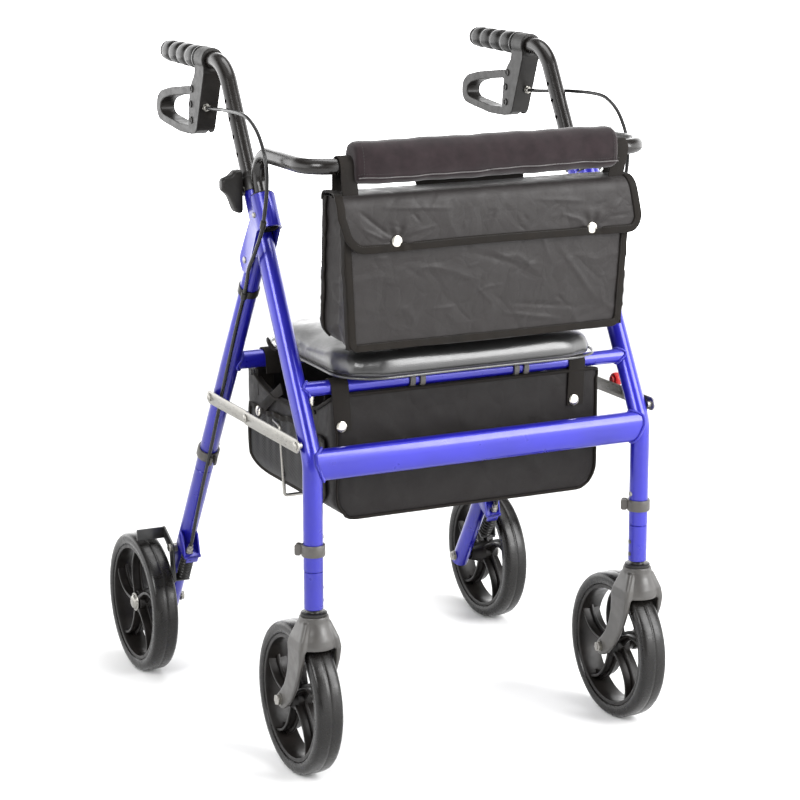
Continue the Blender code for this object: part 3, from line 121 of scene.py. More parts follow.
# %% Floor, sky and soft boxes
def wire(tree, kind, *values, **named):
    """Add a node. values fill its sockets in order, and a node among them stands for its first output.

    A named value goes to the socket of that name, or sets the node itself if the name is in small letters.
    """
    node = tree.nodes.new(kind)
    sockets = list(zip(node.inputs, values))
    for key, value in named.items():
        if key[0].isupper():
            sockets.append((node.inputs[key.replace("_", " ")], value))
        else:
            setattr(node, key, value)
    for socket, value in sockets:
        if isinstance(value, bpy.types.Node):
            value = value.outputs[0]
        if isinstance(value, bpy.types.NodeSocket):
            tree.links.new(value, socket)
        else:
            socket.default_value = value
    return node


def from_bmesh(name, bm):
    """Turn a bmesh into an object."""
    mesh = bpy.data.meshes.new(name)
    bm.to_mesh(mesh)
    bm.free()
    return link(name, mesh)


def soft_box(name, place, aim, width, height, power):
    """A rectangular light panel that faces a point."""
    panel = link(name, bpy.data.lights.new(name, "AREA"))
    panel.data.shape = "RECTANGLE"
    panel.data.size = width
    panel.data.size_y = height
    panel.data.energy = power
    panel.location = place
    panel.rotation_euler = (Vector(place) - Vector(aim)).to_track_quat("Z", "Y").to_euler()


FLOOR_RADIUS = 3.4
FLOOR_COLOUR = (0.86, 0.86, 0.86, 1.0)
disc = bmesh.new()
bmesh.ops.create_circle(disc, cap_ends=True, segments=96, radius=FLOOR_RADIUS)
floor = from_bmesh("floor", disc)
pale = bpy.data.materials.new("pale floor")
pale.use_nodes = True
pale.node_tree.nodes["Principled BSDF"].inputs["Base Color"].default_value = FLOOR_COLOUR
pale.node_tree.nodes["Principled BSDF"].inputs["Roughness"].default_value = 0.9
floor.data.materials.append(pale)

CAMERA_SIDE = (-0.57, -0.82, 0.0)
SWEEP, ROOM, UPPER, CEILING = 3.3, 0.62, 0.2, 1.2
sky = bpy.data.worlds.new("white studio")
sky.use_nodes = True


def sky_node(kind, *values, **named):
    return wire(sky.node_tree, "ShaderNode" + kind, *values, **named)


def sky_step(value, low, high, first, last):
    """A soft step from first to last while a value goes from low to high."""
    return sky_node("MapRange", value, low, high, first, last, interpolation_type="SMOOTHSTEP")


direction = sky_node("TexCoord")
height = sky_node("SeparateXYZ", direction).outputs["Z"]
facing = sky_node("VectorMath", direction, CAMERA_SIDE, operation="DOT_PRODUCT").outputs["Value"]
around = sky_step(facing, 0.62, 0.92, SWEEP, ROOM)
walls = sky_step(height, 0.2, 0.6, around, UPPER)
brightness = sky_step(height, 0.74, 0.92, walls, CEILING)
background = sky.node_tree.nodes["Background"]
background.inputs["Color"].default_value = (1.0, 1.0, 1.0, 1.0)
sky.node_tree.links.new(brightness.outputs[0], background.inputs["Strength"])
bpy.context.scene.view_settings.view_transform = "Standard"
bpy.context.scene.world = sky
soft_box("left light", (-2.0, -1.75, 2.1), (0.0, 0.0, 0.45), 1.1, 1.2, 58)
soft_box("right light", (1.55, -2.2, 1.95), (0.0, -0.1, 0.45), 1.5, 2.2, 130)
soft_box("overhead light", (0.5, 0.2, 2.9), (0.0, 0.0, 0.4), 2.0, 1.2, 36)
print("studio lights", len(bpy.data.lights))

# %% [markdown]
# ## Making and keeping meshes
#
# Everything on this walker is swept, turned, or cut from a flat outline. A few small helpers do those
# three jobs from lists of points, so each piece below is only its own measurements. Modifiers are
# applied as soon as they have done their work, which leaves plain meshes that any program can read.


# %% Mesh helpers
def mm(*rows):
    """Rows of numbers written in millimetres, as metres."""
    return [tuple(number / 1000 for number in row) for row in rows]


def keep(name, bm, weld=0.0):
    """Turn a bmesh into an object whose faces point outwards."""
    if weld:
        bmesh.ops.remove_doubles(bm, verts=bm.verts, dist=weld)
    bmesh.ops.recalc_face_normals(bm, faces=bm.faces)
    return from_bmesh(name, bm)


def evaluated_mesh(piece):
    """The plain mesh that a piece's modifiers make."""
    return bpy.data.meshes.new_from_object(piece.evaluated_get(bpy.context.evaluated_depsgraph_get()))


def modify(piece, kind, **settings):
    """Add one modifier, set it up and apply it."""
    modifier = piece.modifiers.new(kind.lower(), kind)
    for key, value in settings.items():
        setattr(modifier, key, value)
    result = evaluated_mesh(piece)
    piece.modifiers.clear()
    piece.data = result
    return piece


def round_edges(piece, width, segments=2, degrees=35):
    """Break the sharp edges, as every moulded or pressed part has them broken."""
    return modify(piece, "BEVEL", width=width, segments=segments, limit_method="ANGLE",
        angle_limit=math.radians(degrees), use_clamp_overlap=True)


def smooth(piece, degrees):
    """Shade softly, but keep edges sharper than the given angle."""
    piece.data.shade_smooth()
    piece.data.set_sharp_from_angle(angle=math.radians(degrees))


def combine(piece, tool, operation="DIFFERENCE"):
    """Cut with, or join to, a throw-away piece."""
    modify(piece, "BOOLEAN", operation=operation, object=tool, solver="EXACT")
    bpy.data.objects.remove(tool)
    return piece


def gather(name, pieces):
    """Put several objects into one mesh."""
    bm = bmesh.new()
    for piece in pieces:
        bm.from_mesh(piece.data)
    for face in bm.faces:
        face.material_index = 0
    for piece in pieces:
        bpy.data.objects.remove(piece)
    return from_bmesh(name, bm)


def flip_side(piece, name):
    """A mirror image on the other side of the walker, with its faces turned the right way."""
    twin = link(name, piece.data.copy())
    twin.data.transform(Matrix.Scale(-1, 4, (1, 0, 0)))
    twin.data.flip_normals()
    return twin


# %% Sweeps, turned pieces and plates
def skin(name, rings, caps=True, loop=False, weld=0.0):
    """Join rings of points, all of one count, into a surface."""
    bm = bmesh.new()
    layers = [[bm.verts.new(point) for point in ring] for ring in rings]
    count = len(layers[0])
    pairs = list(zip(layers, layers[1:]))
    if loop:
        pairs.append((layers[-1], layers[0]))
    for below, above in pairs:
        for index in range(count):
            after = (index + 1) % count
            bm.faces.new((below[index], below[after], above[after], above[index]))
    if caps and not loop:
        bm.faces.new(list(reversed(layers[0])))
        bm.faces.new(layers[-1])
    return keep(name, bm, weld)


def path_frames(path, across=None):
    """For each point of a path: its place and two directions square to the path.

    Without across the pair is carried along with the least twist, as a real tube would bend.
    """
    points = [Vector(point) for point in path]
    frames = []
    side = None
    for index, point in enumerate(points):
        direction = (points[min(index + 1, len(points) - 1)] - points[max(index - 1, 0)]).normalized()
        if across is not None:
            up = direction.cross(Vector(across)).normalized()
            side = up.cross(direction).normalized()
        else:
            if side is None:
                side = direction.orthogonal().normalized()
            side = (side - direction * side.dot(direction)).normalized()
            up = direction.cross(side)
        frames.append((point, side, up))
    return frames


def sweep(name, path, section, across=None, scales=None, caps=True, loop=False):
    """Carry a flat section of (side, up) points along a path."""
    rings = []
    for index, (point, side, up) in enumerate(path_frames(path, across)):
        size = scales[index] if scales else 1.0
        rings.append([point + side * (a * size) + up * (b * size) for a, b in section])
    return skin(name, rings, caps, loop)


def circle(radius, count=40):
    return [(radius * math.cos(2 * math.pi * i / count), radius * math.sin(2 * math.pi * i / count))
        for i in range(count)]


def soft_rectangle(width, height, corner, steps=4):
    """A rectangle with round corners, as (side, up) points."""
    points = []
    for sign_a, sign_b, start in ((1, 1, 0), (-1, 1, 90), (-1, -1, 180), (1, -1, 270)):
        for step in range(steps + 1):
            angle = math.radians(start + 90 * step / steps)
            points.append((sign_a * (width / 2 - corner) + corner * math.cos(angle), sign_b * (height / 2
                - corner) + corner * math.sin(angle)))
    return points


def tube(name, path, radius, sides=40, ends=0.0006):
    """A round rod along a path, with its two ends slightly rounded."""
    points = [Vector(point) for point in path]
    start = (points[0] - points[1]).normalized()
    finish = (points[-1] - points[-2]).normalized()
    path = [points[0], points[0] - start * ends] + points[1:-1] + [points[-1] - finish * ends, points[-1]]
    scales = [1 - ends / radius] + [1.0] * (len(path) - 2) + [1 - ends / radius]
    return sweep(name, path, circle(radius, sides), scales=scales)


def rod(start, end, radius, sides):
    """A plain round solid between two points."""
    return sweep("rod", [start, end], circle(radius, sides))


def turned(name, profile, centre, axis=(1, 0, 0), steps=64):
    """Spin a closed profile of (distance along the axis, radius) round an axis through centre."""
    axis = Vector(axis).normalized()
    side = axis.orthogonal().normalized()
    up = axis.cross(side)
    rings = []
    for step in range(steps):
        angle = 2 * math.pi * step / steps
        out = side * math.cos(angle) + up * math.sin(angle)
        rings.append([Vector(centre) + axis * along + out * radius for along, radius in profile])
    return skin(name, rings, loop=True, weld=0.000001)


def sleeve(low, high, inner, outer, centre, axis=(1, 0, 0), steps=32):
    """A plain turned ring: spacers, washers and bosses."""
    return turned("sleeve", [(low, inner), (low, outer), (high, outer), (high, inner)], centre, axis,
        steps)


def plate(name, outline, low_x, high_x):
    """A flat part cut from a side-view outline of (y, z) points."""
    return skin(name, [[(x, y, z) for y, z in outline] for x in (low_x, high_x)])


def even_outline(corners, count, rounding=0):
    """A closed outline of evenly spaced points, with its corners softened."""
    corners = [Vector(corner) for corner in corners]
    lengths = [(b - a).length for a, b in zip(corners, corners[1:] + corners[:1])]
    total = sum(lengths)
    points = []
    for index in range(count):
        walk = total * index / count
        edge = 0
        while walk > lengths[edge]:
            walk -= lengths[edge]
            edge += 1
        points.append(corners[edge].lerp(corners[(edge + 1) % len(corners)], walk / lengths[edge]))
    for _ in range(rounding):
        points = [(points[i - 1] + points[i] * 2 + points[(i + 1) % count]) / 4 for i in range(count)]
    return points


def smooth_path(points, spacing):
    """Evenly spaced points on a smooth curve through the given ones."""
    points = [Vector(point) for point in points]
    ends = [points[0] * 2 - points[1]] + points + [points[-1] * 2 - points[-2]]
    dense = []
    for before, start, end, after in zip(ends, ends[1:], ends[2:], ends[3:]):
        for step in range(24):
            t = step / 24
            dense.append(0.5 * (2 * start + (end - before) * t + (2 * before - 5 * start + 4 * end
                - after) * t ** 2 + (3 * start - before - 3 * end + after) * t ** 3))
    dense.append(points[-1])
    length = sum((b - a).length for a, b in zip(dense, dense[1:]))
    count = max(2, round(length / spacing))
    path = [dense[0]]
    walked = 0.0
    for a, b in zip(dense, dense[1:]):
        walked += (b - a).length
        if walked >= len(path) * length / count and len(path) < count:
            path.append(b)
    return path + [dense[-1]]


def rounded_path(corners, bends, steps=10):
    """A polyline whose inner corners are arcs of the given bend radii."""
    corners = [Vector(corner) for corner in corners]
    path = [corners[0]]
    for corner, before, after, bend in zip(corners[1:], corners, corners[2:], bends):
        to_before = (before - corner).normalized()
        to_after = (after - corner).normalized()
        half = to_before.angle(to_after) / 2
        centre = corner + (to_before + to_after).normalized() * (bend / math.sin(half))
        first = corner + to_before * (bend / math.tan(half)) - centre
        last = corner + to_after * (bend / math.tan(half)) - centre
        swing = first.angle(last)
        for step in range(steps + 1):
            share = step / steps
            path.append(centre + (first * math.sin((1 - share) * swing) + last * math.sin(share * swing))
                / math.sin(swing))
    return path + [corners[-1]]


def both_halves(half):
    """A path and its mirror image, joined in the middle of the walker."""
    return half + [Vector((-p.x, p.y, p.z)) for p in reversed(half)]


def arc(centre, radius, start, end, steps):
    """Side-view points on an arc, in degrees from +Y towards +Z."""
    angles = [math.radians(start + (end - start) * step / steps) for step in range(steps + 1)]
    return [(centre[0] + radius * math.cos(a), centre[1] + radius * math.sin(a)) for a in angles]


def belt(first, first_radius, second, second_radius, steps=14):
    """The outline of a belt round two circles."""
    first, second = Vector(first), Vector(second)
    run = second - first
    heading = math.degrees(math.atan2(run.y, run.x))
    spread = math.degrees(math.acos((first_radius - second_radius) / run.length))
    return (arc(first, first_radius, heading + spread, heading + 360 - spread, steps) + arc(second,
        second_radius, heading - spread, heading + spread, steps))


# %% Handing a piece to the walker
def finish(piece, material, body, slot, replaced=(), degrees=40):
    """Give a piece its material and its place on the moving frame.

    body is a name, or (first body, second body, start, end) for a piece between two bodies, which is baked
    in place and attached to neither.
    """
    piece.data.materials.clear()
    piece.data.materials.append(material)
    if degrees:
        smooth(piece, degrees)
    if replaced:
        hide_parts(*replaced)
    if isinstance(body, str):
        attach(piece, body)
    else:
        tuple(body[2])
        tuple(body[3])
        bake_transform(piece)
    return piece


def own(side, body):
    """A body's full name, for a piece on one side."""
    return body if body in frame["bodies"] else f"{side}_{body}"


def finish_pair(piece, name, material, body, slot, replaced=(), degrees=40):
    """Finish a right-hand piece and its mirror image. body and replaced are names without a side."""
    piece.name = "right_" + name
    twin = flip_side(piece, "left_" + name)
    for made, side in ((piece, "right"), (twin, "left")):
        finish(made, material, own(side, body), slot, [f"{side}_{node}" for node in replaced], degrees)
    return piece


print("helpers ready")

# %% [markdown]
# ## Finishes
#
# A finish is a small node tree: one main colour, and then what makes it look real at close range.
# Paint has a faint orange peel, plastic a fine spark-eroded grain, vinyl a pebbled skin, cloth its
# threads. All of them read Object coordinates, so the pattern has a true size in metres and stays
# put when a part moves. Bumps are chained, coarse before fine, and their depths are real depths.

# %% A finish builder
class Finish:
    """A material under construction."""

    def __init__(self, name, colour, roughness, metallic=0.0):
        self.material = bpy.data.materials.new(name)
        self.material.use_nodes = True
        self.tree = self.material.node_tree
        self.shader = self.tree.nodes["Principled BSDF"]
        self.set(Base_Color=(*colour, 1.0), Roughness=roughness, Metallic=metallic)
        self.place = self.node("TexCoord").outputs["Object"]
        self.last_bump = None

    def node(self, kind, *values, **named):
        return wire(self.tree, "ShaderNode" + kind, *values, **named)

    def feed(self, node, socket):
        """Link a node to the shader."""
        self.tree.links.new(node.outputs[0], self.shader.inputs[socket])

    def set(self, **values):
        """Set plain numbers on the shader's own sockets."""
        for key, value in values.items():
            self.shader.inputs[key.replace("_", " ")].default_value = value

    def noise(self, scale, detail=2.0, place=None):
        return self.node("TexNoise", place or self.place, Scale=scale, Detail=detail)

    def cells(self, scale):
        return self.node("TexVoronoi", self.place, feature="SMOOTH_F1", Scale=scale, Smoothness=0.25)

    def creases(self, scale, wander, sharp):
        """Valleys along the borders of wandering cells, as in cloth that was folded and shaken out."""
        drift = self.noise(scale * 0.8).outputs["Color"]
        mixed = self.node("VectorMath", drift, (wander, wander, wander), self.place,
            operation="MULTIPLY_ADD")
        cells = self.node("TexVoronoi", mixed, feature="DISTANCE_TO_EDGE", Scale=scale)
        return self.between(cells, 0.0, 1.0, 0.0, sharp)

    def bands(self, scale, direction, distortion):
        return self.node("TexWave", self.place, bands_direction=direction, Scale=scale,
            Distortion=distortion).outputs["Fac"]

    def math(self, operation, first, second):
        return self.node("Math", first, second, operation=operation)

    def between(self, factor, low, high, start=0.3, end=0.7):
        """Carry a factor from one range into another."""
        return self.node("MapRange", factor, start, end, low, high)

    def tint(self, factor, dark, light, start=0.3, end=0.7):
        """Let the colour wander between two shades."""
        node = self.node("ValToRGB", factor)
        for stop, place, colour in zip(node.color_ramp.elements, (start, end), (dark, light)):
            stop.position = place
            stop.color = (*colour, 1.0)
        self.feed(node, "Base Color")

    def rough(self, factor, low, high):
        self.feed(self.between(factor, low, high), "Roughness")

    def bump(self, height, depth, strength):
        """Press a pattern into the surface, depth metres deep."""
        node = self.node("Bump", Height=height, Distance=depth, Strength=strength)
        if self.last_bump:
            self.tree.links.new(self.last_bump, node.inputs["Normal"])
        self.last_bump = node.outputs["Normal"]
        self.feed(node, "Normal")


# %% Paint, steel and plastic
def paint(name, dark, light, roughness, coat, peel, flake=0.0, shine=0.6):
    """Stoved paint on tube: metal flake under clear gloss, and a faint orange peel."""
    made = Finish(name, light, roughness, flake)
    made.set(Coat_Weight=coat, Coat_Roughness=0.14, Specular_IOR_Level=shine)
    made.tint(made.noise(9.0, 3.0), dark, light)
    made.rough(made.noise(60.0), roughness * 0.85, roughness * 1.2)
    made.bump(made.noise(420.0, 1.0), peel, 0.5)
    return made.material


def plastic(name, dark, light, roughness, grain=0.00006, grain_size=2200.0, shine=0.3):
    """Moulded plastic or rubber with an eroded grain and slightly rubbed patches."""
    made = Finish(name, light, roughness)
    made.set(Specular_IOR_Level=shine)
    made.tint(made.noise(35.0, 4.0), dark, light)
    made.rough(made.noise(110.0, 3.0), roughness - 0.06, roughness + 0.08)
    made.bump(made.noise(grain_size, 1.0), grain, 0.55)
    return made.material


def bare_metal(name, colour, roughness, stretch):
    """Plated steel with fine drawing lines."""
    made = Finish(name, colour, roughness, 1.0)
    lines = made.noise(900.0, 3.0, made.node("Mapping", made.place, Scale=stretch).outputs[0])
    made.tint(lines, tuple(c * 0.72 for c in colour), colour)
    made.rough(lines, roughness - 0.08, roughness + 0.14)
    made.bump(lines, 0.00004, 0.4)
    return made.material


BLUE = paint("blue paint", (0.0065, 0.006, 0.2), (0.012, 0.0105, 0.31), 0.32, 0.55, 0.00002, 0.35, 0.4)
BLACK_TUBE = paint("black tube paint", (0.0045, 0.0038, 0.0034), (0.0085, 0.007, 0.0062), 0.26, 0.3,
    0.00003, shine=0.25)
# Black coated steel for the brake shoe; the same dark colour also paints the shade inside the spare height
# holes.
BLACK_STEEL_AND_HOLE_SHADE = paint("black coated steel", (0.004, 0.004, 0.004), (0.009, 0.009, 0.009), 0.36, 0.2,
    0.00004)
GREY_PLASTIC = plastic("grey moulded plastic", (0.04, 0.037, 0.033), (0.064, 0.058, 0.052), 0.42,
    shine=0.5)
BLACK_PLASTIC = plastic("black moulded plastic", (0.006, 0.0055, 0.005), (0.013, 0.012, 0.011), 0.36)
HANDLE_PLASTIC = plastic("handle plastic", (0.006, 0.0054, 0.0049), (0.012, 0.011, 0.01), 0.38,
    shine=0.25)
RIM_PLASTIC = plastic("wheel plastic", (0.004, 0.0036, 0.0033), (0.01, 0.0085, 0.0078), 0.34, shine=0.2)
FORK_PLASTIC = plastic("fork plastic", (0.03, 0.028, 0.026), (0.05, 0.047, 0.043), 0.34, shine=0.55)
GRIP_RUBBER = plastic("grip rubber", (0.0035, 0.0033, 0.003), (0.007, 0.0065, 0.006), 0.26, 0.00004,
    1500.0, 0.22)
TYRE_RUBBER = plastic("tyre rubber", (0.003, 0.0027, 0.0025), (0.007, 0.0063, 0.0058), 0.27, 0.00005,
    1300.0, 0.3)
CABLE_SHEATH = plastic("cable sheath", (0.005, 0.005, 0.005), (0.01, 0.01, 0.01), 0.28, 0.00003, 3000.0)
RED_PLASTIC = plastic("red plastic", (0.3, 0.006, 0.006), (0.42, 0.01, 0.009), 0.36)
ZINC = bare_metal("zinc plate", (0.33, 0.32, 0.295), 0.32, (1.0, 0.15, 1.0))
BRASS = bare_metal("snap metal", (0.7, 0.67, 0.6), 0.24, (1.0, 1.0, 1.0))
print("hard finishes", len(bpy.data.materials))


# %% [markdown]
# Cloth needs two scales at once. Close to, threads cross; further off, the cloth is never quite flat,
# and soft creases catch the light. The nylon of the bags has both: a plain weave 0.7 mm apart and a
# slow, crumpled noise. Suede has no weave, only a nap, which is a sheen and a fine mottle. Vinyl has
# rounded pebbles a millimetre and a half wide, with shine on top and dust in the valleys.

# %% Cloth, suede, vinyl and webbing
def cloth(name, dark, light, roughness, thread, crumple, shine=0.22, folds=0.0):
    """Woven cloth: two crossing sets of threads over a soft crumple, and creases where it was folded."""
    made = Finish(name, light, roughness)
    made.set(Sheen_Weight=shine * 0.25, Sheen_Roughness=0.5, Specular_IOR_Level=shine)
    weft, warp = [made.bands(0.32 / thread, direction, 0.4) for direction in "XZ"]
    threads = made.math("MULTIPLY", weft, warp)
    slow = made.noise(38.0, 4.0)
    made.tint(made.math("ADD", made.math("MULTIPLY", slow, 0.7), made.math("MULTIPLY", threads, 0.25)),
        dark, light, 0.25, 0.75)
    made.rough(slow, roughness - 0.1, roughness + 0.1)
    made.bump(slow, crumple, 0.8)
    if folds:
        made.bump(made.creases(16.0, 0.05, 0.1), folds, 0.6)
        made.bump(made.creases(41.0, 0.02, 0.14), folds * 0.4, 0.5)
    made.bump(threads, 0.00012, 0.5)
    return made.material


NYLON = cloth("bag nylon", (0.0112, 0.0094, 0.0092), (0.012, 0.0099, 0.0096), 0.44, 0.0007, 0.0008,
    folds=0.0005)
# The pouch is the same nylon as the bag, painted darker here: painted shade for the pouch hanging under
# the seat.
SHADED_POUCH_NYLON = cloth("pouch nylon darkened for shade", (0.0064, 0.0052, 0.005), (0.0068, 0.0054, 0.0053), 0.52, 0.0007,
    0.0008, 0.16, 0.0003)
BINDING = cloth("binding tape", (0.0055, 0.0045, 0.0036), (0.0135, 0.011, 0.009), 0.7, 0.0012, 0.0003,
    0.1)
WEBBING = cloth("strap webbing", (0.0055, 0.0045, 0.0038), (0.013, 0.0108, 0.0092), 0.66, 0.0016, 0.0003,
    0.1)
THREAD = cloth("sewing thread", (0.008, 0.007, 0.007), (0.018, 0.016, 0.016), 0.55, 0.0004, 0.0001)
# The hem's cloth is lighter than the suede: a painted highlight along its shiny edge, on top of its real
# gloss.
HEM_PAINTED_HIGHLIGHT = cloth("folded hem with painted highlight", (0.02, 0.016, 0.016), (0.05, 0.044, 0.044), 0.34, 0.0009, 0.0002, 0.5)

suede = Finish("brown-black suede", (0.018, 0.013, 0.0145), 0.92)
suede.set(Sheen_Weight=0.25, Sheen_Roughness=0.45, Specular_IOR_Level=0.15)
suede.tint(suede.noise(70.0, 5.0), (0.008, 0.005, 0.0058), (0.016, 0.01, 0.0115), 0.25, 0.75)
suede.bump(suede.noise(30.0, 3.0), 0.0006, 0.6)
suede.bump(suede.noise(1800.0), 0.00016, 0.6)
SUEDE = suede.material

vinyl = Finish("grained vinyl", (0.024, 0.025, 0.027), 0.36)
vinyl.set(Coat_Weight=0.8, Coat_Roughness=0.26, Specular_IOR_Level=0.5)
vinyl.tint(vinyl.noise(26.0, 4.0), (0.0045, 0.0045, 0.0045), (0.0105, 0.0105, 0.0105), 0.25, 0.75)
vinyl.rough(vinyl.noise(90.0, 3.0), 0.3, 0.4)
vinyl.bump(vinyl.noise(14.0), 0.0006, 0.4)
vinyl.bump(vinyl.cells(620.0), 0.0003, 0.8)
VINYL = vinyl.material
print("all finishes", len(bpy.data.materials))

# %% [markdown]
# ## Rows that follow a path
#
# Stitches, weld ripples, screws and holes are one small shape, repeated. Geometry Nodes is made for
# that: a guide line goes in, points are spaced along it, a shape is put on each point and turned to
# the line, and the result comes out as an ordinary mesh. Spacing and sizes are named inputs, so the
# same tree sews a cushion and welds a tube.

# %% The tree for rows
def node_tree(name, numbers, build):
    """A Geometry Nodes tree with named inputs. build(node, given) makes its nodes and returns the last."""
    tree = bpy.data.node_groups.new(name, "GeometryNodeTree")
    inputs = [("Guide", "Geometry")] + [(label, "Float") for label in numbers] + [("Material",
        "Material")]
    for label, kind in inputs:
        tree.interface.new_socket(label, in_out="INPUT", socket_type="NodeSocket" + kind)
    tree.interface.new_socket("Mesh", in_out="OUTPUT", socket_type="NodeSocketGeometry")
    given = tree.nodes.new("NodeGroupInput").outputs

    def node(kind, *values, **named):
        kind = kind if "Node" in kind else "GeometryNode" + kind
        return wire(tree, kind, *values, **named)

    real = node("RealizeInstances", build(node, given))
    dressed = node("SetMaterial", real, Material=given["Material"])
    wire(tree, "NodeGroupOutput", dressed)
    return tree


def row_nodes(node, given):
    """A bead of a given length and thickness, repeated along a guide line."""
    guide = node("MeshToCurve", given["Guide"])
    spaced = node("ResampleCurve", guide, mode="LENGTH", Length=given["Spacing"])
    size = node("ShaderNodeCombineXYZ", given["Length"], given["Thickness"], given["Thickness"])
    bead = node("Transform", node("MeshUVSphere", Segments=8, Rings=5, Radius=0.5), Scale=size)
    along = node("FunctionNodeAlignRotationToVector", axis="X", Vector=node("InputTangent"))
    return node("InstanceOnPoints", spaced, Instance=bead, Rotation=along)


def guide_line(points, closed=False):
    """A mesh line for a tree to follow."""
    mesh = bpy.data.meshes.new("guide")
    count = len(points)
    edges = [(i, (i + 1) % count) for i in range(count if closed else count - 1)]
    mesh.from_pydata([tuple(point) for point in points], edges, [])
    return link("guide", mesh)


def grow(name, tree, guides, **values):
    """Run a tree on one or more guide lines and keep the plain mesh."""
    guide = gather("guide", guides)
    modifier = guide.modifiers.new("nodes", "NODES")
    modifier.node_group = tree
    for item in tree.interface.items_tree:
        if item.in_out == "INPUT" and item.name in values:
            modifier[item.identifier] = values[item.name]
    mesh = evaluated_mesh(guide)
    bpy.data.objects.remove(guide)
    mesh.name = name
    return link(name, mesh)


ROW = node_tree("row of beads", ("Spacing", "Length", "Thickness"), row_nodes)


def stitches(name, lines, body, slot, pitch=0.0034, thread=0.0009, closed=False):
    """Sewing along one or more lines."""
    guides = [guide_line(line, closed) for line in lines]
    row = grow(name, ROW, guides, Spacing=pitch, Length=pitch * 0.78, Thickness=thread, Material=THREAD)
    return finish(row, THREAD, body, slot, degrees=0)


print("row tree has", len(ROW.nodes), "nodes")


# %% The tree for ribs
def rib_nodes(node, given):
    """A round bar along a guide line whose radius swells and shrinks: boots and bellows."""
    guide = node("MeshToCurve", given["Guide"])
    spaced = node("ResampleCurve", guide, mode="LENGTH", Length=given["Step"])

    def calc(operation, first, second=0.0):
        return node("ShaderNodeMath", first, second, operation=operation)

    turns = calc("MULTIPLY", node("SplineParameter"), given["Ribs"])
    wave = calc("SUBTRACT", 1.0, calc("COSINE", calc("MULTIPLY", turns, 2 * math.pi)))
    shaped = calc("POWER", calc("MULTIPLY", wave, 0.5), given["Sharpness"])
    groove = calc("MULTIPLY", calc("SUBTRACT", 1.0, shaped), given["Depth"])
    section = node("CurvePrimitiveCircle", Resolution=32, Radius=1.0)
    return node("CurveToMesh", spaced, section, Scale=calc("SUBTRACT", given["Radius"], groove),
        Fill_Caps=True)


RIBS = node_tree("ribbed bar", ("Radius", "Depth", "Ribs", "Sharpness", "Step"), rib_nodes)
print("rib tree has", len(RIBS.nodes), "nodes")

# %% [markdown]
# ## The blue frame
#
# Each front leg is one tube with a single bend. Below the bend it stands upright over its caster; above
# it leans back to the handle. The rear leg hangs from a rivet half way up and runs back to its wheel.
# A thinner tube slides in an open end of each to set the heights. Such a mouth gets a real wall by
# carrying rings along the outside and then a little way back down the inside.

# %% Main measurements
LEG_X = 0.24
LEG_RADIUS = 0.0127
SLIDING_RADIUS = 0.0111
STEM_Y = -0.2825
WHEEL_RADIUS = 0.1015
FRONT_AXLE = Vector((LEG_X, -0.2355, WHEEL_RADIUS))
REAR_AXLE = Vector((0.284, 0.2355, WHEEL_RADIUS))
LEG_LEAN = math.radians(29.75)
PIVOT = Vector((LEG_X, -0.109, 0.659))
LEG_FOOT_Z = 0.2856
LEG_BEND_Z = 0.4293
LEG_BEND_RADIUS = 0.05
BORE_RADIUS = SLIDING_RADIUS + 0.0003


class Axis:
    """A leg's straight axis in the side view, measured along it and off its front."""

    def __init__(self, y, z, run_y, run_z):
        length = math.hypot(run_y, run_z)
        self.start = Vector((y, z))
        self.run = Vector((run_y / length, run_z / length))
        self.front = Vector((-self.run.y, self.run.x)) if self.run.y > 0 else Vector((self.run.y,
            -self.run.x))

    def at(self, along, front=0.0, x=LEG_X):
        place = self.start + self.run * along + self.front * front
        return Vector((x, place.x, place.y))

    def along_for(self, z):
        return (z - self.start.y) / self.run.y


FRONT = Axis(STEM_Y, LEG_BEND_Z, math.sin(LEG_LEAN), math.cos(LEG_LEAN))
REAR = Axis(PIVOT.y, PIVOT.z, REAR_AXLE.y - PIVOT.y, REAR_AXLE.z - PIVOT.z)
LEG_TOP = FRONT.along_for(0.756)
REAR_LEG_END = REAR.along_for(0.333)
AXLE_ALONG = (REAR_AXLE.yz - PIVOT.yz).length
print("front leg leans", round(math.degrees(LEG_LEAN), 2), "rear leg", round(REAR_LEG_END, 3), "long")


# %% Open tubes
def open_tube(name, path, radius, bore, bore_start, bore_end, sides=48):
    """A tube whose mouths are bored. bore_start and bore_end count path points from each end."""
    frames = path_frames(path)
    edge = 0.0005

    def ring(frame, size, shift=0.0):
        point, side, up = frame
        along = side.cross(up)
        return [point + along * shift + side * a + up * b for a, b in circle(size, sides)]

    rings = [ring(frame, bore) for frame in reversed(frames[1:bore_start + 1])]
    rings += [ring(frames[0], bore), ring(frames[0], radius - edge), ring(frames[0], radius, edge)]
    rings += [ring(frame, radius) for frame in frames[1:-1]]
    rings += [ring(frames[-1], radius, -edge), ring(frames[-1], radius - edge), ring(frames[-1], bore)]
    rings += [ring(frame, bore) for frame in reversed(frames[-1 - bore_end:-1])]
    return skin(name, rings)


front_corners = rounded_path([(LEG_X, STEM_Y, LEG_FOOT_Z), (LEG_X, STEM_Y, LEG_BEND_Z),
    FRONT.at(LEG_TOP)], [LEG_BEND_RADIUS], 16)
front_path = ([front_corners[0], Vector((LEG_X, STEM_Y, 0.34)), Vector((LEG_X, STEM_Y, 0.405))]
    + front_corners[1:-1] + [FRONT.at(LEG_TOP - 0.245), FRONT.at(LEG_TOP - 0.12), front_corners[-1]])
leg = open_tube("front leg", front_path, LEG_RADIUS, BORE_RADIUS, 2, 2)
finish_pair(leg, "front_leg_tube", BLUE, "frame", "blue_paint", ["front_leg"])

rear_path = [REAR.at(-LEG_RADIUS), REAR.at(0.0), REAR.at(0.05), REAR.at(0.2), REAR.at(REAR_LEG_END)]
leg = open_tube("rear leg", rear_path, LEG_RADIUS, BORE_RADIUS, 0, 2)
finish_pair(leg, "rear_leg_tube", BLUE, "rear_frame", "blue_paint", ["rear_leg"])

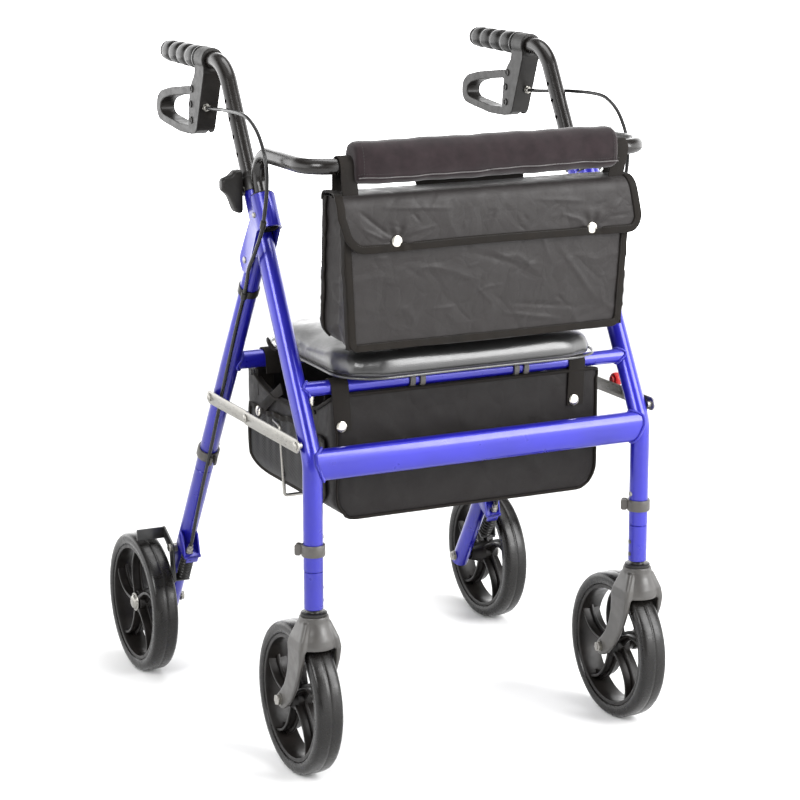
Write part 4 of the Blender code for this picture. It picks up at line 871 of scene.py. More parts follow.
# %% [markdown]
# ### Cross tubes and their welds
#
# An oval bar joins the front legs, and a round bar joins each pair under the seat. Where a bar meets a
# leg its end is cut to the leg's curve and welded all round. The cut falls out of a little geometry:
# the x at which a line parallel to X first meets the leg's cylinder. The same curve, pushed out by half
# a millimetre, guides the weld bead, which the row tree fills with overlapping ripples.


# %% Cross tubes
def axis_distance(y, z, path):
    """Shortest distance in the side view from a point to a bent leg's axis."""
    place = Vector((y, z))
    best = 1.0
    for a, b in zip(path, path[1:]):
        a, b = a.yz, b.yz
        share = max(0.0, min(1.0, (place - a).dot(b - a) / (b - a).length_squared))
        best = min(best, (place - a.lerp(b, share)).length)
    return best


def meeting_x(y, z, path, grow=0.0):
    """Where a line along X through (y, z) meets the inner side of a right-hand leg."""
    away = min(axis_distance(y, z, path), LEG_RADIUS + grow)
    return LEG_X - math.sqrt((LEG_RADIUS + grow) ** 2 - away ** 2)


def oval(y, z, half_y, half_z, count=48, power=2.0):
    """A closed oval in the side view. A power above 2 makes it squarer."""
    points = []
    for index in range(count):
        angle = 2 * math.pi * index / count
        c, s = math.cos(angle), math.sin(angle)
        points.append((y + half_y * math.copysign(abs(c) ** (2 / power), c), z + half_z
            * math.copysign(abs(s) ** (2 / power), s)))
    return points


def cross_tube(name, outline, path, body):
    """A bar between the legs, coped to them, with a weld bead at each end."""
    ends = [meeting_x(y, z, path) + 0.0008 for y, z in outline]
    rings = [[(share * x, y, z) for x, (y, z) in zip(ends, outline)] for share in (-1.0, -0.5, 0.0, 0.5,
        1.0)]
    finish(skin(name, rings), BLUE, body, "blue_paint", [name])
    middle = Vector((sum(y for y, _ in outline), sum(z for _, z in outline))) / len(outline)
    beads = []
    for side in (1, -1):
        line = []
        for y, z in outline:
            y = middle.x + (y - middle.x) * 1.03
            z = middle.y + (z - middle.y) * 1.03
            line.append((side * (meeting_x(y, z, path, 0.0006) - 0.001), y, z))
        beads.append(guide_line(line, closed=True))
    weld = grow(name + "_welds", ROW, beads, Spacing=0.0016, Length=0.003, Thickness=0.0044,
        Material=BLUE)
    finish(weld, BLUE, body, "blue_paint")


FRONT_BAR_Y = -0.2395
FRONT_BAR_Z = 0.511
REAR_BAR = REAR.at(REAR.along_for(0.505)).yz
cross_tube("crossbar", oval(STEM_Y, 0.4226, 0.0125, 0.0205, 56, 2.35), front_path, "frame")
cross_tube("front_seat_bar", oval(FRONT_BAR_Y, FRONT_BAR_Z, 0.0095, 0.0095), front_path, "frame")
cross_tube("rear_seat_bar", oval(REAR_BAR.x, REAR_BAR.y, 0.0124, 0.0124), rear_path, "rear_frame")
print("rear bar at", [round(v, 4) for v in REAR_BAR])

# %% [markdown]
# ### The pivot bracket
#
# One folded plate does two jobs. It wraps round the backrest bar in front of the leg, and its two ears
# hang down each side of the leg to carry the rear leg on a rivet. It is drawn as it is pressed: two
# flat ears and a half-round wrap, united and then given broken edges.

# %% Bracket, rivet and snap button
EAR_INNER = 0.013
EAR_OUTER = 0.0165
SOCKET_OFFSET = 0.0257
SOCKET_TOP = LEG_TOP - 0.028
SOCKET_LOW = SOCKET_TOP - 0.046


def bracket_ear(side):
    outline = arc(PIVOT.yz, 0.0165, 25, -160, 20)
    outline += [FRONT.at(SOCKET_LOW, SOCKET_OFFSET - 0.004).yz, FRONT.at(SOCKET_LOW, SOCKET_OFFSET).yz,
        FRONT.at(SOCKET_TOP, SOCKET_OFFSET).yz, FRONT.at(SOCKET_TOP, 0.0165).yz, FRONT.at(SOCKET_TOP
        - 0.006, 0.013).yz, FRONT.at(SOCKET_TOP - 0.022, 0.0105).yz]
    near, far = sorted((LEG_X + side * EAR_INNER, LEG_X + side * EAR_OUTER))
    return plate("ear", outline, near, far)


def socket_wrap():
    rings = []
    for step in range(25):
        angle = math.radians(-90 + 180 * step / 24)
        ring = []
        for along, radius in ((SOCKET_LOW, EAR_INNER), (SOCKET_LOW, EAR_OUTER), (SOCKET_TOP, EAR_OUTER),
            (SOCKET_TOP, EAR_INNER)):
            ring.append(FRONT.at(along, SOCKET_OFFSET - 0.00005 + radius * math.cos(angle), LEG_X + radius
                * math.sin(angle)))
        rings.append(ring)
    return skin("wrap", rings)


bracket = combine(bracket_ear(1), socket_wrap(), "UNION")
bracket = combine(bracket, bracket_ear(-1), "UNION")
round_edges(bracket, 0.0009, 3, 50)
finish_pair(bracket, "pivot_bracket_plate", BLUE, "frame", "blue_paint", ["pivot_bracket"])

BUSH = mm((0, 10.3), (0, 12.8), (44, 12.8), (44, 15), (47.5, 14.6), (48, 10.3))
bush = turned("bush", BUSH, FRONT.at(SOCKET_LOW + 0.001, SOCKET_OFFSET), FRONT.at(1.0) - FRONT.at(0.0),
    40)
finish_pair(bush, "socket_bush", BLACK_PLASTIC, "frame", "black_plastic")

RIVET = mm((-17.8, 0), (-17.8, 3.4), (-17.2, 4.4), (-16.6, 4.4), (-16.6, 3), (16.6, 3), (16.6, 4.6),
    (17.2, 4.6), (17.9, 3.6), (18.2, 1.8), (18.2, 0))
rivet = turned("rivet", RIVET, PIVOT, steps=40)
finish_pair(rivet, "pivot_rivet", ZINC, "frame", "zinc")
SNAP_BUTTON = mm((10, 0), (10, 3.6), (17.2, 3.6), (18.4, 3), (19, 1.6), (19.1, 0))
button = turned("snap", SNAP_BUTTON, FRONT.at(SOCKET_TOP - 0.025, SOCKET_OFFSET), steps=32)
finish_pair(button, "bar_snap_button", ZINC, "frame", "zinc")
print("bracket spans", round(SOCKET_TOP - SOCKET_LOW, 3), "m of socket")

# %% [markdown]
# ### Black tubes
#
# The backrest bar rises from both sockets, bends forward and crosses in front. The handle tubes slide
# in the front legs and carry a row of holes for the height knob. Holes are cut right through, as drilled.


# %% Backrest bar and handle tubes
def slope_point(z):
    """A point of the backrest bar's rising part, at a given height."""
    return FRONT.at(FRONT.along_for(z - FRONT.front.y * SOCKET_OFFSET), SOCKET_OFFSET)


bar_half = [FRONT.at(SOCKET_LOW + 0.004, SOCKET_OFFSET), slope_point(0.799),
    Vector((LEG_X, STEM_Y, 0.799))]
bar_path = rounded_path(both_halves(bar_half), [0.03, 0.036, 0.036, 0.03], 12)
bar = tube("backrest_tube", bar_path, 0.01, 40)
finish(bar, BLACK_TUBE, "frame", "black_tube", ["backrest_bar"])

HANDLE_Z = 0.904
HOLE_PITCH = 0.025
KNOB_HOLE = LEG_TOP - 0.0092
GRIP_END_Y = 0.1975
handle_corners = [FRONT.at(LEG_TOP - 0.13), FRONT.at(FRONT.along_for(HANDLE_Z)),
    Vector((LEG_X, GRIP_END_Y - 0.008, HANDLE_Z))]
handle = tube("handle", rounded_path(handle_corners, [0.05], 18), SLIDING_RADIUS, 48)
drills = []
for hole in range(6):
    centre = FRONT.at(KNOB_HOLE + hole * HOLE_PITCH)
    drills.append(tube("drill", [centre + Vector((x, 0, 0)) for x in (-0.02, 0, 0.02)], 0.0031, 20))
handle = combine(handle, gather("drills", drills))
finish_pair(handle, "handle_bent_tube", BLACK_TUBE, "handle", "black_tube", ["handle_tube"], 30)

COLLAR = mm((-12, 13), (-12, 14.9), (-9, 15.3), (3, 15.3), (6, 14.6), (7, 13.6), (11, 13.4), (13, 12.8),
    (13, 11.5), (0.8, 11.5), (0.4, 13))
collar = turned("collar", COLLAR, FRONT.at(LEG_TOP), FRONT.at(1.0) - FRONT.at(0.0), 48)
finish_pair(collar, "leg_top_collar", BLACK_PLASTIC, "frame", "black_plastic")
print("handle tube holes", len(drills))

# %% [markdown]
# ## Wheels
#
# A wheel is a solid of revolution twice over: a rubber tyre with rounded shoulders and a fine mould
# line round its middle, and a moulded rim that is dished deep on both faces. Both are one profile each,
# turned round the axle. The five spokes are not round. Each is a broad curved blade with a thinner web
# beside it, so each is built as a plate along a bent line, wide at the hub and at the rim.

# %% Tyre and rim profiles
TYRE_HALF = 0.0183
RIM_OUTER = 0.085
RIM_HALF = 0.0153
HUB_RADIUS = 0.017


def mirrored_profile(half):
    """Close a profile by adding its mirror image on the other side of the wheel."""
    return half + [(-along, radius) for along, radius in reversed(half)]


TYRE = mirrored_profile([(0.0158, RIM_OUTER + 0.0003), (0.0171, RIM_OUTER + 0.0012), (0.0174, RIM_OUTER
    + 0.0024), (0.0177, RIM_OUTER + 0.0034), (TYRE_HALF, RIM_OUTER + 0.0055), (0.0182, 0.0942),
    (0.0176, 0.0968), (0.0163, 0.0989), (0.0144, 0.1003), (0.0118, 0.101), (0.008, 0.1014),
    (0.004, 0.1015), (0.0011, 0.1015), (0.0007, 0.1013)])
RIM = [(RIM_HALF, 0.0795), (RIM_HALF + 0.0004, 0.0802), (RIM_HALF + 0.0004, RIM_OUTER - 0.0006),
    (RIM_HALF - 0.0002, RIM_OUTER)]
RIM += [(-along, radius) for along, radius in reversed(RIM)]
RIM += mm((-12, 78.7), (-4, 78.1), (4, 78.1), (12, 78.7))


def hub(x, low, high):
    """The hub barrel: a flange near each end and a recess round the bolt."""
    profile = [(low, 0.0043), (low, 0.01), (low + 0.0006, 0.0108), (low + 0.005, 0.0112), (low + 0.0064,
        0.0118)]
    profile += [(-0.0105, 0.0158), (-0.0095, HUB_RADIUS), (0.0095, HUB_RADIUS), (0.0105, 0.0158)]
    profile += [(high - 0.0064, 0.0118), (high - 0.005, 0.0112), (high - 0.0006, 0.0108), (high, 0.01),
        (high, 0.0043)]
    return turned("hub", profile, x, steps=48)


def spoke(centre, index):
    """One blade with a cross web: a flat outer flange and a narrow rib behind it."""
    parts = []
    for half_x, wide, narrow in ((0.002, 0.0098, 0.0064), (0.0128, 0.0028, 0.002)):
        rings = []
        for step in range(13):
            share = step / 12
            radius = 0.0145 + (0.08 - 0.0145) * share
            angle = 2 * math.pi * index / 5 + math.radians(22) * share * share
            out = Vector((0, math.cos(angle), math.sin(angle)))
            across = Vector((0, -math.sin(angle), math.cos(angle)))
            flare = abs(2 * share - 1) ** 2.2
            half = narrow + (wide - narrow) * flare
            rings.append([centre + out * radius + Vector((a, 0, 0)) + across * b for a,
                b in soft_rectangle(2 * half_x, 2 * half, min(0.0012, half_x * 0.6), 3)])
        parts.append(skin("blade", rings))
    return gather("spoke", parts)


def wheel(centre, hub_low, hub_high, body, replaced):
    tyre = turned("tyre", TYRE, centre, steps=128)
    finish_pair(tyre, replaced + "_tyre_ring", TYRE_RUBBER, body, "tyre", [replaced + "_tyre"], 30)
    parts = [turned("ring", RIM, centre, steps=128), hub(centre, hub_low, hub_high)]
    parts += [spoke(centre, index) for index in range(5)]
    rim = gather("rim", parts)
    finish_pair(rim, replaced + "_rim_moulding", RIM_PLASTIC, body, "black_plastic", [replaced + "_rim"],
        35)


wheel(FRONT_AXLE, -0.0205, 0.0205, "front_wheel", "front")
wheel(REAR_AXLE, 0.2531 - REAR_AXLE.x, 0.2955 - REAR_AXLE.x, "rear_wheel", "rear")
print("wheel diameter", 2 * WHEEL_RADIUS)

# %% [markdown]
# ### Caster forks
#
# The fork is one smooth moulding: a cone under the stem, an arch that clears the tyre, and two arms
# that sweep back to the axle and end in a point. Shapes that flow into each other are hard to draw face
# by face. Instead simple solids are laid over one another, a voxel remesh melts them into one skin, and
# a smoothing pass rounds every inner corner, as the mould does.


# %% Melting solids into a moulding
def melt(name, pieces, voxel, passes, cutter=None):
    """Unite overlapping solids into one skin with soft inner corners."""
    piece = gather(name, pieces)
    modify(piece, "REMESH", mode="VOXEL", voxel_size=voxel, adaptivity=0.0)
    if cutter:
        combine(piece, cutter)
        modify(piece, "REMESH", mode="VOXEL", voxel_size=voxel, adaptivity=0.0)
    return modify(piece, "SMOOTH", factor=0.5, iterations=passes)


FORK_INNER = 0.0215
FORK_TOP_Z = 0.2268


def fork_arm(side):
    """An arm as a row of soft rectangles along a line that bows forward, then points at the axle."""
    stations = ((-0.283, 0.22, 0.029, 0.013, 0.006), (-0.2832, 0.209, 0.035, 0.013, 0.0105),
        (-0.2834, 0.198, 0.041, 0.0125, 0.0155), (-0.2832, 0.187, 0.044, 0.0105, 0.0195), (-0.2815, 0.173,
        0.041, 0.0076, FORK_INNER), (-0.276, 0.155, 0.0355, 0.0066, FORK_INNER), (-0.2675, 0.136, 0.0315,
        0.0062, FORK_INNER), (-0.256, 0.118, 0.0285, 0.0062, FORK_INNER), (-0.244, 0.1065, 0.0262, 0.0066,
        FORK_INNER), (-0.2355, 0.1, 0.024, 0.0068, FORK_INNER), (-0.229, 0.0945, 0.0165, 0.0064,
        FORK_INNER), (-0.2255, 0.0915, 0.007, 0.0058, FORK_INNER))
    rings = []
    for index, (y, z, wide, thick, inner) in enumerate(stations):
        before = Vector(stations[max(index - 1, 0)][:2])
        after = Vector(stations[min(index + 1, len(stations) - 1)][:2])
        run = (after - before).normalized()
        across = Vector((-run.y, run.x))
        x = LEG_X + side * (inner + thick / 2)
        rings.append([Vector((x + a, y + across.x * b, z + across.y * b)) for a,
            b in soft_rectangle(thick, wide, thick * 0.42, 4)])
    return skin("arm", rings)


def crown():
    profile = mm((0, 0), (0, 28.5), (4, 28.8), (12, 27.6), (21, 24.5), (29, 21.2), (34, 19.8),
        (40.5, 19.2), (41.5, 18.6), (41.5, 0))
    return turned("crown", profile, (LEG_X, STEM_Y, 0.1853), (0, 0, 1), 64)


tyre_room = rod(FRONT_AXLE - Vector((FORK_INNER, 0, 0)), FRONT_AXLE + Vector((FORK_INNER, 0, 0)),
    WHEEL_RADIUS + 0.0048, 96)
fork = melt("fork", [crown(), fork_arm(1), fork_arm(-1)], 0.0009, 11, tyre_room)
boss_near, boss_far = LEG_X + FORK_INNER + 0.004, LEG_X + FORK_INNER + 0.0072
fork = gather("fork", [fork] + [turned("boss", [(near, 0.0043), (near, 0.0095), (far - 0.0006 * sign,
    0.0095), (far, 0.0089), (far, 0.0043)], (0, FRONT_AXLE.y, FRONT_AXLE.z), steps=40) for near, far,
    sign in ((boss_near, boss_far, 1), (2 * LEG_X - boss_near, 2 * LEG_X - boss_far, -1))])
finish_pair(fork, "caster_fork_moulding", FORK_PLASTIC, "caster", "black_plastic", ["caster_fork"], 0)

RING = mm((0, 6), (0, 16.5), (0.8, 17.2), (3.6, 17.2), (4.2, 16.4), (4.2, 10), (4.6, 9.6), (7.2, 9.2),
    (7.2, 6))
ring = turned("stem ring", RING, (LEG_X, STEM_Y, FORK_TOP_Z - 0.0002), (0, 0, 1), 48)
finish_pair(ring, "stem_bearing_ring", BLACK_PLASTIC, "caster", "black_plastic")


def hex_piece(low, high, place, across_flats, axis=(1, 0, 0), chamfer=0.0007):
    """A hexagon head or nut with chamfered corners, between two distances along an axis."""
    axis = Vector(axis).normalized()
    path = [Vector(place) + axis * along for along in (low, low + chamfer, high - chamfer, high)]
    return sweep("hexagon", path, circle(across_flats / math.sqrt(3), 6), scales=[0.93, 1.0, 1.0, 0.93])


WASHER = 0.0008


def bolt(place, low, high, head=0.0046, nut=0.004, across=0.0128, radius=0.004):
    """A bolt along X: washer and head at the high end; nut, washer and thread at the low end."""
    parts = [hex_piece(high + WASHER, high + WASHER + head, place, across), sleeve(high, high + WASHER,
        0.001, across * 0.6, place)]
    if nut:
        parts += [hex_piece(low - WASHER - nut, low - WASHER, place, across * 0.95), sleeve(low, low
            - WASHER, 0.001, across * 0.58, place)]
    shank_end = low - (0.0015 + nut if nut else 0.0)
    parts.append(rod(Vector(place) + Vector((shank_end, 0, 0)), Vector(place)
        + Vector((high + 0.001, 0, 0)), radius, 24))
    return gather("bolt", parts)


axle = bolt((0, FRONT_AXLE.y, FRONT_AXLE.z), LEG_X - 0.029, LEG_X + 0.029)
finish_pair(axle, "caster_axle_bolt", ZINC, "caster", "zinc", ["front_axle"])
print("fork faces", len(fork.data.polygons))

# %% [markdown]
# ### Rear wheel bolts and sliding lower legs
#
# The rear wheels run on long bolts that stand out from the legs, under a pressed cap. The lower legs
# are tubes that slide in the outer ones; each is thinner where it is hidden, so it can still be seen
# sliding out when the leg is made longer.

# %% Rear axle, hub cap and lower legs
axle = bolt((0, REAR_AXLE.y, REAR_AXLE.z), LEG_X - 0.0132, 0.2957, head=0.003, across=0.013)
cap = turned("cap", mm((295.7, 0), (295.7, 12.8), (296.6, 13.6), (297.4, 13.2), (297.8, 11), (299.6, 10),
    (301.2, 8), (302, 4.5), (302.2, 0)), (0, REAR_AXLE.y, REAR_AXLE.z), steps=48)
spacer = sleeve(LEG_X + 0.0128, 0.2528, 0.0042, 0.007, (0, REAR_AXLE.y, REAR_AXLE.z))
finish_pair(gather("axle", [axle, cap, spacer]), "rear_axle_bolt", ZINC, "rear_foot", "zinc",
    ["rear_axle"])


def lower_leg(name, start, run, length, body, replaced):
    """A visible foot tube below the joint and a thinner one inside the outer leg."""
    stations = ((-0.11, SLIDING_RADIUS), (-0.004, SLIDING_RADIUS), (0.0004, SLIDING_RADIUS),
        (0.0004, 0.0119), (0.001, 0.0125), (0.03, 0.0125), (length - 0.0008, 0.0125), (length, 0.0118))
    rings = []
    side = Vector((1, 0, 0))
    up = run.cross(side)
    for along, radius in stations:
        rings.append([start + run * along + side * a + up * b for a, b in circle(radius, 48)])
    finish_pair(skin(name, rings), name, BLUE, body, "blue_paint", [replaced])


REAR_RUN = (REAR.at(1.0) - REAR.at(0.0)).normalized()
lower_leg("front_lower_tube", Vector((LEG_X, STEM_Y, 0.2853)), Vector((0, 0, -1)), 0.0505, "front_foot",
    "front_lower_leg")
lower_leg("rear_lower_tube", REAR.at(REAR_LEG_END + 0.0003), REAR_RUN, AXLE_ALONG - REAR_LEG_END + 0.013,
    "rear_foot", "rear_lower_leg")
print("rear lower leg", round(AXLE_ALONG - REAR_LEG_END + 0.013, 3), "m below the joint")

# %% [markdown]
# ### Clips and spring buttons
#
# A plastic clip grips each leg between its spring button and the end of its outer tube. It is a band
# with two ears. The buttons are domed pins, and the spare holes are thin discs with a pressed rim,
# painted dark: painted shade for the inside of each hole.


# %% Leg clips, buttons and holes
def leg_clip(place, run, ear=0.0085, half=0.0075, turn=0.0):
    """A band round a leg with two short ears on one side and a lip at each rim."""
    band = turned("band", [(-half, 0.0128), (-half, 0.015), (-half + 0.0012, 0.0156), (half - 0.0012,
        0.0156), (half, 0.015), (half, 0.0128)], place, run, 40)
    run = Vector(run).normalized()
    across = Matrix.Rotation(turn, 3, run) @ run.cross(Vector((1, 0, 0))).normalized()
    beside = run.cross(across)
    parts = [band]
    for offset in (-0.0035, 0.0035):
        centre = Vector(place) + across * (0.015 + ear / 2) + beside * offset
        rings = []
        for step in (-1, -0.9, 0.9, 1):
            size = 0.82 if abs(step) == 1 else 1.0
            rings.append([centre + beside * (step * 0.0014) + across * (a * size) + run * (b * size)
                for a, b in soft_rectangle(ear, 2 * half, 0.003, 4)])
        parts.append(skin("ear", rings))
    return gather("clip", parts)


PIN = [(-0.01, 0.0), (-0.01, 0.0034), (-0.0132, 0.0034), (-0.0141, 0.0034 * 0.8), (-0.0147, 0.0034 * 0.4),
    (-0.0148, 0.0)]
FRONT_CLIP_Z = 0.313
REAR_CLIP_Z = 0.359
for side, sign in SIDES:
    front_clip = leg_clip((sign * LEG_X, STEM_Y, FRONT_CLIP_Z), (0, 0, 1), turn=math.radians(55))
    front_clip.name = side + "_front_leg_clip"
    finish(front_clip, GREY_PLASTIC, "frame", "grey_plastic")
rear_clip = leg_clip(REAR.at(REAR.along_for(REAR_CLIP_Z)), REAR_RUN)
finish_pair(rear_clip, "rear_leg_clip", GREY_PLASTIC, "rear_frame", "grey_plastic")
for body, place, node in (("front_button", Vector((LEG_X, STEM_Y, 0.329)), "front_leg_button"),
    ("rear_button", REAR.at(REAR.along_for(0.37)), "rear_leg_button")):
    finish_pair(turned("pin", PIN, place, steps=28), node + "_dome", ZINC, body, "zinc", [node])


def hole_shade_discs(name, places, body):
    """Spare height holes, as thin discs with a pressed rim, painted dark as the shade inside a hole."""
    marks = [turned("mark", mm((-12.9, 0), (-12.95, 2.6), (-12.85, 3.1), (-12, 3.1), (-12, 0)), place,
        steps=24) for place in places]
    finish_pair(gather(name, marks), name, BLACK_STEEL_AND_HOLE_SHADE, body, "black_steel")


hole_shade_discs("front_height_hole_shade_discs", [Vector((LEG_X, STEM_Y, z)) for z in (0.262, 0.245)], "front_foot")
hole_shade_discs("rear_height_hole_shade_discs", [REAR.at(REAR_LEG_END + 0.028), REAR.at(REAR_LEG_END + 0.053)],
    "rear_foot")
print("clips at", FRONT_CLIP_Z, REAR_CLIP_Z)

# %% [markdown]
# ### Folding stays
#
# Two flat links on each side stop the legs from opening too far. They lie straight when the frame is
# open and fold in the middle when it closes. Each link is a bare steel strap with a rivet at each
# end, and the front one on the right carries a small red knob.

# %% Stays and the release knob
STAY_Z = 0.4495
STAY_REAR_X = LEG_X + LEG_RADIUS + 0.0036
STAY_FRONT_X = STAY_REAR_X + 0.0023


STAY_FRONT_Y, STAY_MIDDLE_Y, STAY_REAR_Y = -0.2775, -0.1125, 0.0205


def stay(outer_y, low_x, body, name, replaced):
    """One link, from its pin in the leg to the pin that joins the two links."""
    high_x = low_x + 0.002
    start_y, end_y = sorted((outer_y, STAY_MIDDLE_Y))
    strip = plate("strap", belt((start_y, STAY_Z), 0.009, (end_y, STAY_Z), 0.009, 18), low_x, high_x)
    round_edges(strip, 0.0005, 2, 30)
    rivets = []
    for y, bottom in ((outer_y, LEG_X + LEG_RADIUS + 0.0002), (STAY_MIDDLE_Y, low_x)):
        rivets.append(turned("rivet", [(bottom, 0.0), (bottom, 0.004), (high_x, 0.004), (high_x, 0.0056),
            (high_x + 0.001, 0.0055), (high_x + 0.0022, 0.0042), (high_x + 0.0027, 0.0022),
            (high_x + 0.0027, 0.0)], (0, y, STAY_Z), steps=32))
    finish_pair(gather(name, [strip] + rivets), name, ZINC, body, "zinc", [replaced])


stay(STAY_FRONT_Y, STAY_FRONT_X, "front_link", "front_stay_link", "front_stay")
stay(STAY_REAR_Y, STAY_REAR_X, "rear_link", "rear_stay_link", "rear_stay")

KNOB_PROFILE = mm((260, 0), (260, 5), (262.5, 5.2), (263, 8.5), (265, 9.8), (270, 10), (272, 8.8),
    (272.8, 5), (272.8, 0))
release = turned("release knob", KNOB_PROFILE, (0.0, -0.1714, 0.4605), steps=40)
release.name = "stay_release_knob"
finish(release, RED_PLASTIC, "right_front_link", "black_plastic")
print("stay length", round(STAY_REAR_Y - STAY_FRONT_Y, 3))

# %% [markdown]
# ### Rear brakes
#
# Pulling the cable lifts a folded steel lever, whose blade then presses on the tyre. A spring under a
# ribbed rubber boot pushes it back. The boot is a tube whose radius rises and falls along its line,
# which is a rule, so the rib tree makes it. The lever is a pressed part: flat plates with broken edges.

# %% Brake bracket, lever and bolt
BOOT_X = 0.246
BOOT_OFFSET = 0.029
BRACKET_ALONG = AXLE_ALONG - 0.1277
BOOT_START = BRACKET_ALONG + 0.0043
BOOT_LENGTH = 0.046


def side_plate(corners, low_x, high_x, edge=0.0005):
    return round_edges(plate("plate", [corner.yz for corner in corners], low_x, high_x), edge, 2, 30)


def bracket_corners(along, thick, near, far):
    return [REAR.at(along, near), REAR.at(along, far), REAR.at(along + thick, far), REAR.at(along + thick,
        near)]


shelf = side_plate(bracket_corners(BRACKET_ALONG, 0.0038, 0.004, 0.0385), LEG_X - 0.0095, BOOT_X + 0.0095)
webs = []
for low_x in (LEG_X - 0.0095, BOOT_X + 0.007):
    webs.append(side_plate([REAR.at(BRACKET_ALONG - 0.02, 0.0035), REAR.at(BRACKET_ALONG - 0.02, 0.015),
        REAR.at(BRACKET_ALONG + 0.001, 0.036), REAR.at(BRACKET_ALONG + 0.001, 0.0035)], low_x, low_x
        + 0.0025))
lip = side_plate(bracket_corners(BRACKET_ALONG, 0.0125, 0.036, 0.0385), LEG_X - 0.006, BOOT_X + 0.006)
finish_pair(gather("bracket", [shelf, lip] + webs), "brake_bracket_plate", BLUE, "rear_foot",
    "blue_paint")

boot_line = [REAR.at(BOOT_START + 0.0002, BOOT_OFFSET, BOOT_X), REAR.at(BOOT_START + BOOT_LENGTH - 0.0002,
    BOOT_OFFSET, BOOT_X)]
boot = grow("boot", RIBS, [guide_line(boot_line)], Radius=0.0098, Depth=0.0026, Ribs=8.0, Sharpness=0.6,
    Step=0.0006, Material=GRIP_RUBBER)
for side, sign in SIDES:
    mesh = boot.data.copy()
    mesh.transform(Matrix.Scale(sign, 4, (1, 0, 0)))
    if sign < 0:
        mesh.flip_normals()
    start, end = [(sign * p.x, p.y, p.z) for p in boot_line]
    finish(link(side + "_brake_boot_ribbed", mesh), GRIP_RUBBER, (side + "_rear_foot", side + "_shoe",
        start, end), "grip_rubber", [side + "_brake_boot"], 60)
bpy.data.objects.remove(boot)

ADJUSTER = mm((-15, 2.8), (-15, 3.4), (-9, 3.4), (-8.8, 4.4), (-7.8, 4.8), (-3, 4.8), (-2.6, 4),
    (-0.2, 4), (-0.2, 2.8))
barrel = turned("barrel", ADJUSTER, REAR.at(BRACKET_ALONG, BOOT_OFFSET, BOOT_X), REAR_RUN, 32)
lock_nut = hex_piece(-0.0034, -0.0006, REAR.at(BRACKET_ALONG, BOOT_OFFSET, BOOT_X), 0.0105, REAR_RUN)
finish_pair(gather("adjuster", [barrel, lock_nut]), "cable_adjuster", ZINC, "rear_foot", "zinc")

SHOE_PIVOT = Vector((0.1767, 0.1946))
SHOE_LOW_X = LEG_X + LEG_RADIUS + 0.0058
shoe_foot = REAR_AXLE.yz + Vector((-0.0296, 0.1011)).normalized() * (WHEEL_RADIUS + 0.0033)
arm = plate("arm", belt(SHOE_PIVOT, 0.0085, shoe_foot + Vector((0.0, 0.0095)), 0.0075, 16), SHOE_LOW_X,
    SHOE_LOW_X + 0.003)
toe_end = REAR.at(BOOT_START + BOOT_LENGTH + 0.0019, BOOT_OFFSET).yz
toe = plate("toe", belt(SHOE_PIVOT, 0.008, toe_end, 0.007, 16), SHOE_LOW_X + 0.0001, SHOE_LOW_X + 0.0029)
blade_low = shoe_foot + Vector((-0.0016, 0.0))
blade = plate("blade", [blade_low, blade_low + Vector((0.0032, 0)), blade_low + Vector((0.0032, 0.0165)),
    blade_low + Vector((0, 0.0165))], SHOE_LOW_X + 0.001, 0.3018)
tab = plate("tab", [p.yz for p in bracket_corners(BOOT_START + BOOT_LENGTH + 0.0003, 0.0026, 0.021,
    0.0355)], BOOT_X - 0.0085, SHOE_LOW_X + 0.001)
lever = [round_edges(part, 0.0006, 3, 30) for part in (arm, toe, blade, tab)]
finish_pair(gather("shoe", lever), "brake_shoe_lever", BLACK_STEEL_AND_HOLE_SHADE, "shoe", "black_steel", ["brake_shoe"])

pivot = bolt((0, SHOE_PIVOT.x, SHOE_PIVOT.y), LEG_X + 0.0128, SHOE_LOW_X + 0.0032, head=0.0026, nut=0.0,
    across=0.0105, radius=0.0033)
collar = sleeve(LEG_X + 0.0127, SHOE_LOW_X - 0.0003, 0.0034, 0.006, (0, SHOE_PIVOT.x, SHOE_PIVOT.y))
finish_pair(gather("pivot", [pivot, collar]), "brake_pivot_screw", ZINC, "rear_foot", "zinc",
    ["brake_pivot_bolt"])
print("boot", BOOT_LENGTH, "m long")

# %% [markdown]
# ## Handles
#
# The grips are rubber with four finger swells. Between the swells lie narrow grooves, so the profile
# is a row of shallow arches rather than a wave. The brake housing and its loop lever are mouldings
# again: side-view plates melted together, with three plugs over the screws.


# %% Grips
def grip_profile():
    """Distance from the housing and radius: flange, four swells with grooves between, domed end."""
    profile = mm((0, 11.6), (0, 15.8), (0.8, 16.5), (4.8, 16.5), (5.6, 15.8), (6.2, 14.6))
    swells = mm((7, 40), (41, 70), (71, 99), (100, 125))
    for number, (start, end) in enumerate(swells):
        for step in range(15):
            share = step / 14
            arch = max(0.0, 1 - abs(2 * share - 1) ** 3.2)
            profile.append((start + (end - start) * share, 0.0132 + (0.0026 - 0.0003 * number) * arch))
    profile += mm((126.2, 13.7), (129, 13.8), (131.8, 13), (133.8, 11.2), (135, 8), (135.4, 0))
    return profile


GRIP_START_Y = 0.0625
grip = turned("grip", [(a, r) for a, r in grip_profile()] + [(0.126, 0.0), (0.126, 0.0116)],
    (LEG_X, GRIP_START_Y, HANDLE_Z), (0, 1, 0), 64)
finish_pair(grip, "grip_rubber_sleeve", GRIP_RUBBER, "handle", "grip_rubber", ["grip"], 50)

# %% Brake housing
HOUSING_FRONT_Y = 0.0302
HOUSING_REAR_Y = 0.0622
LEVER_PIVOT = Vector((0.0745, 0.8185))


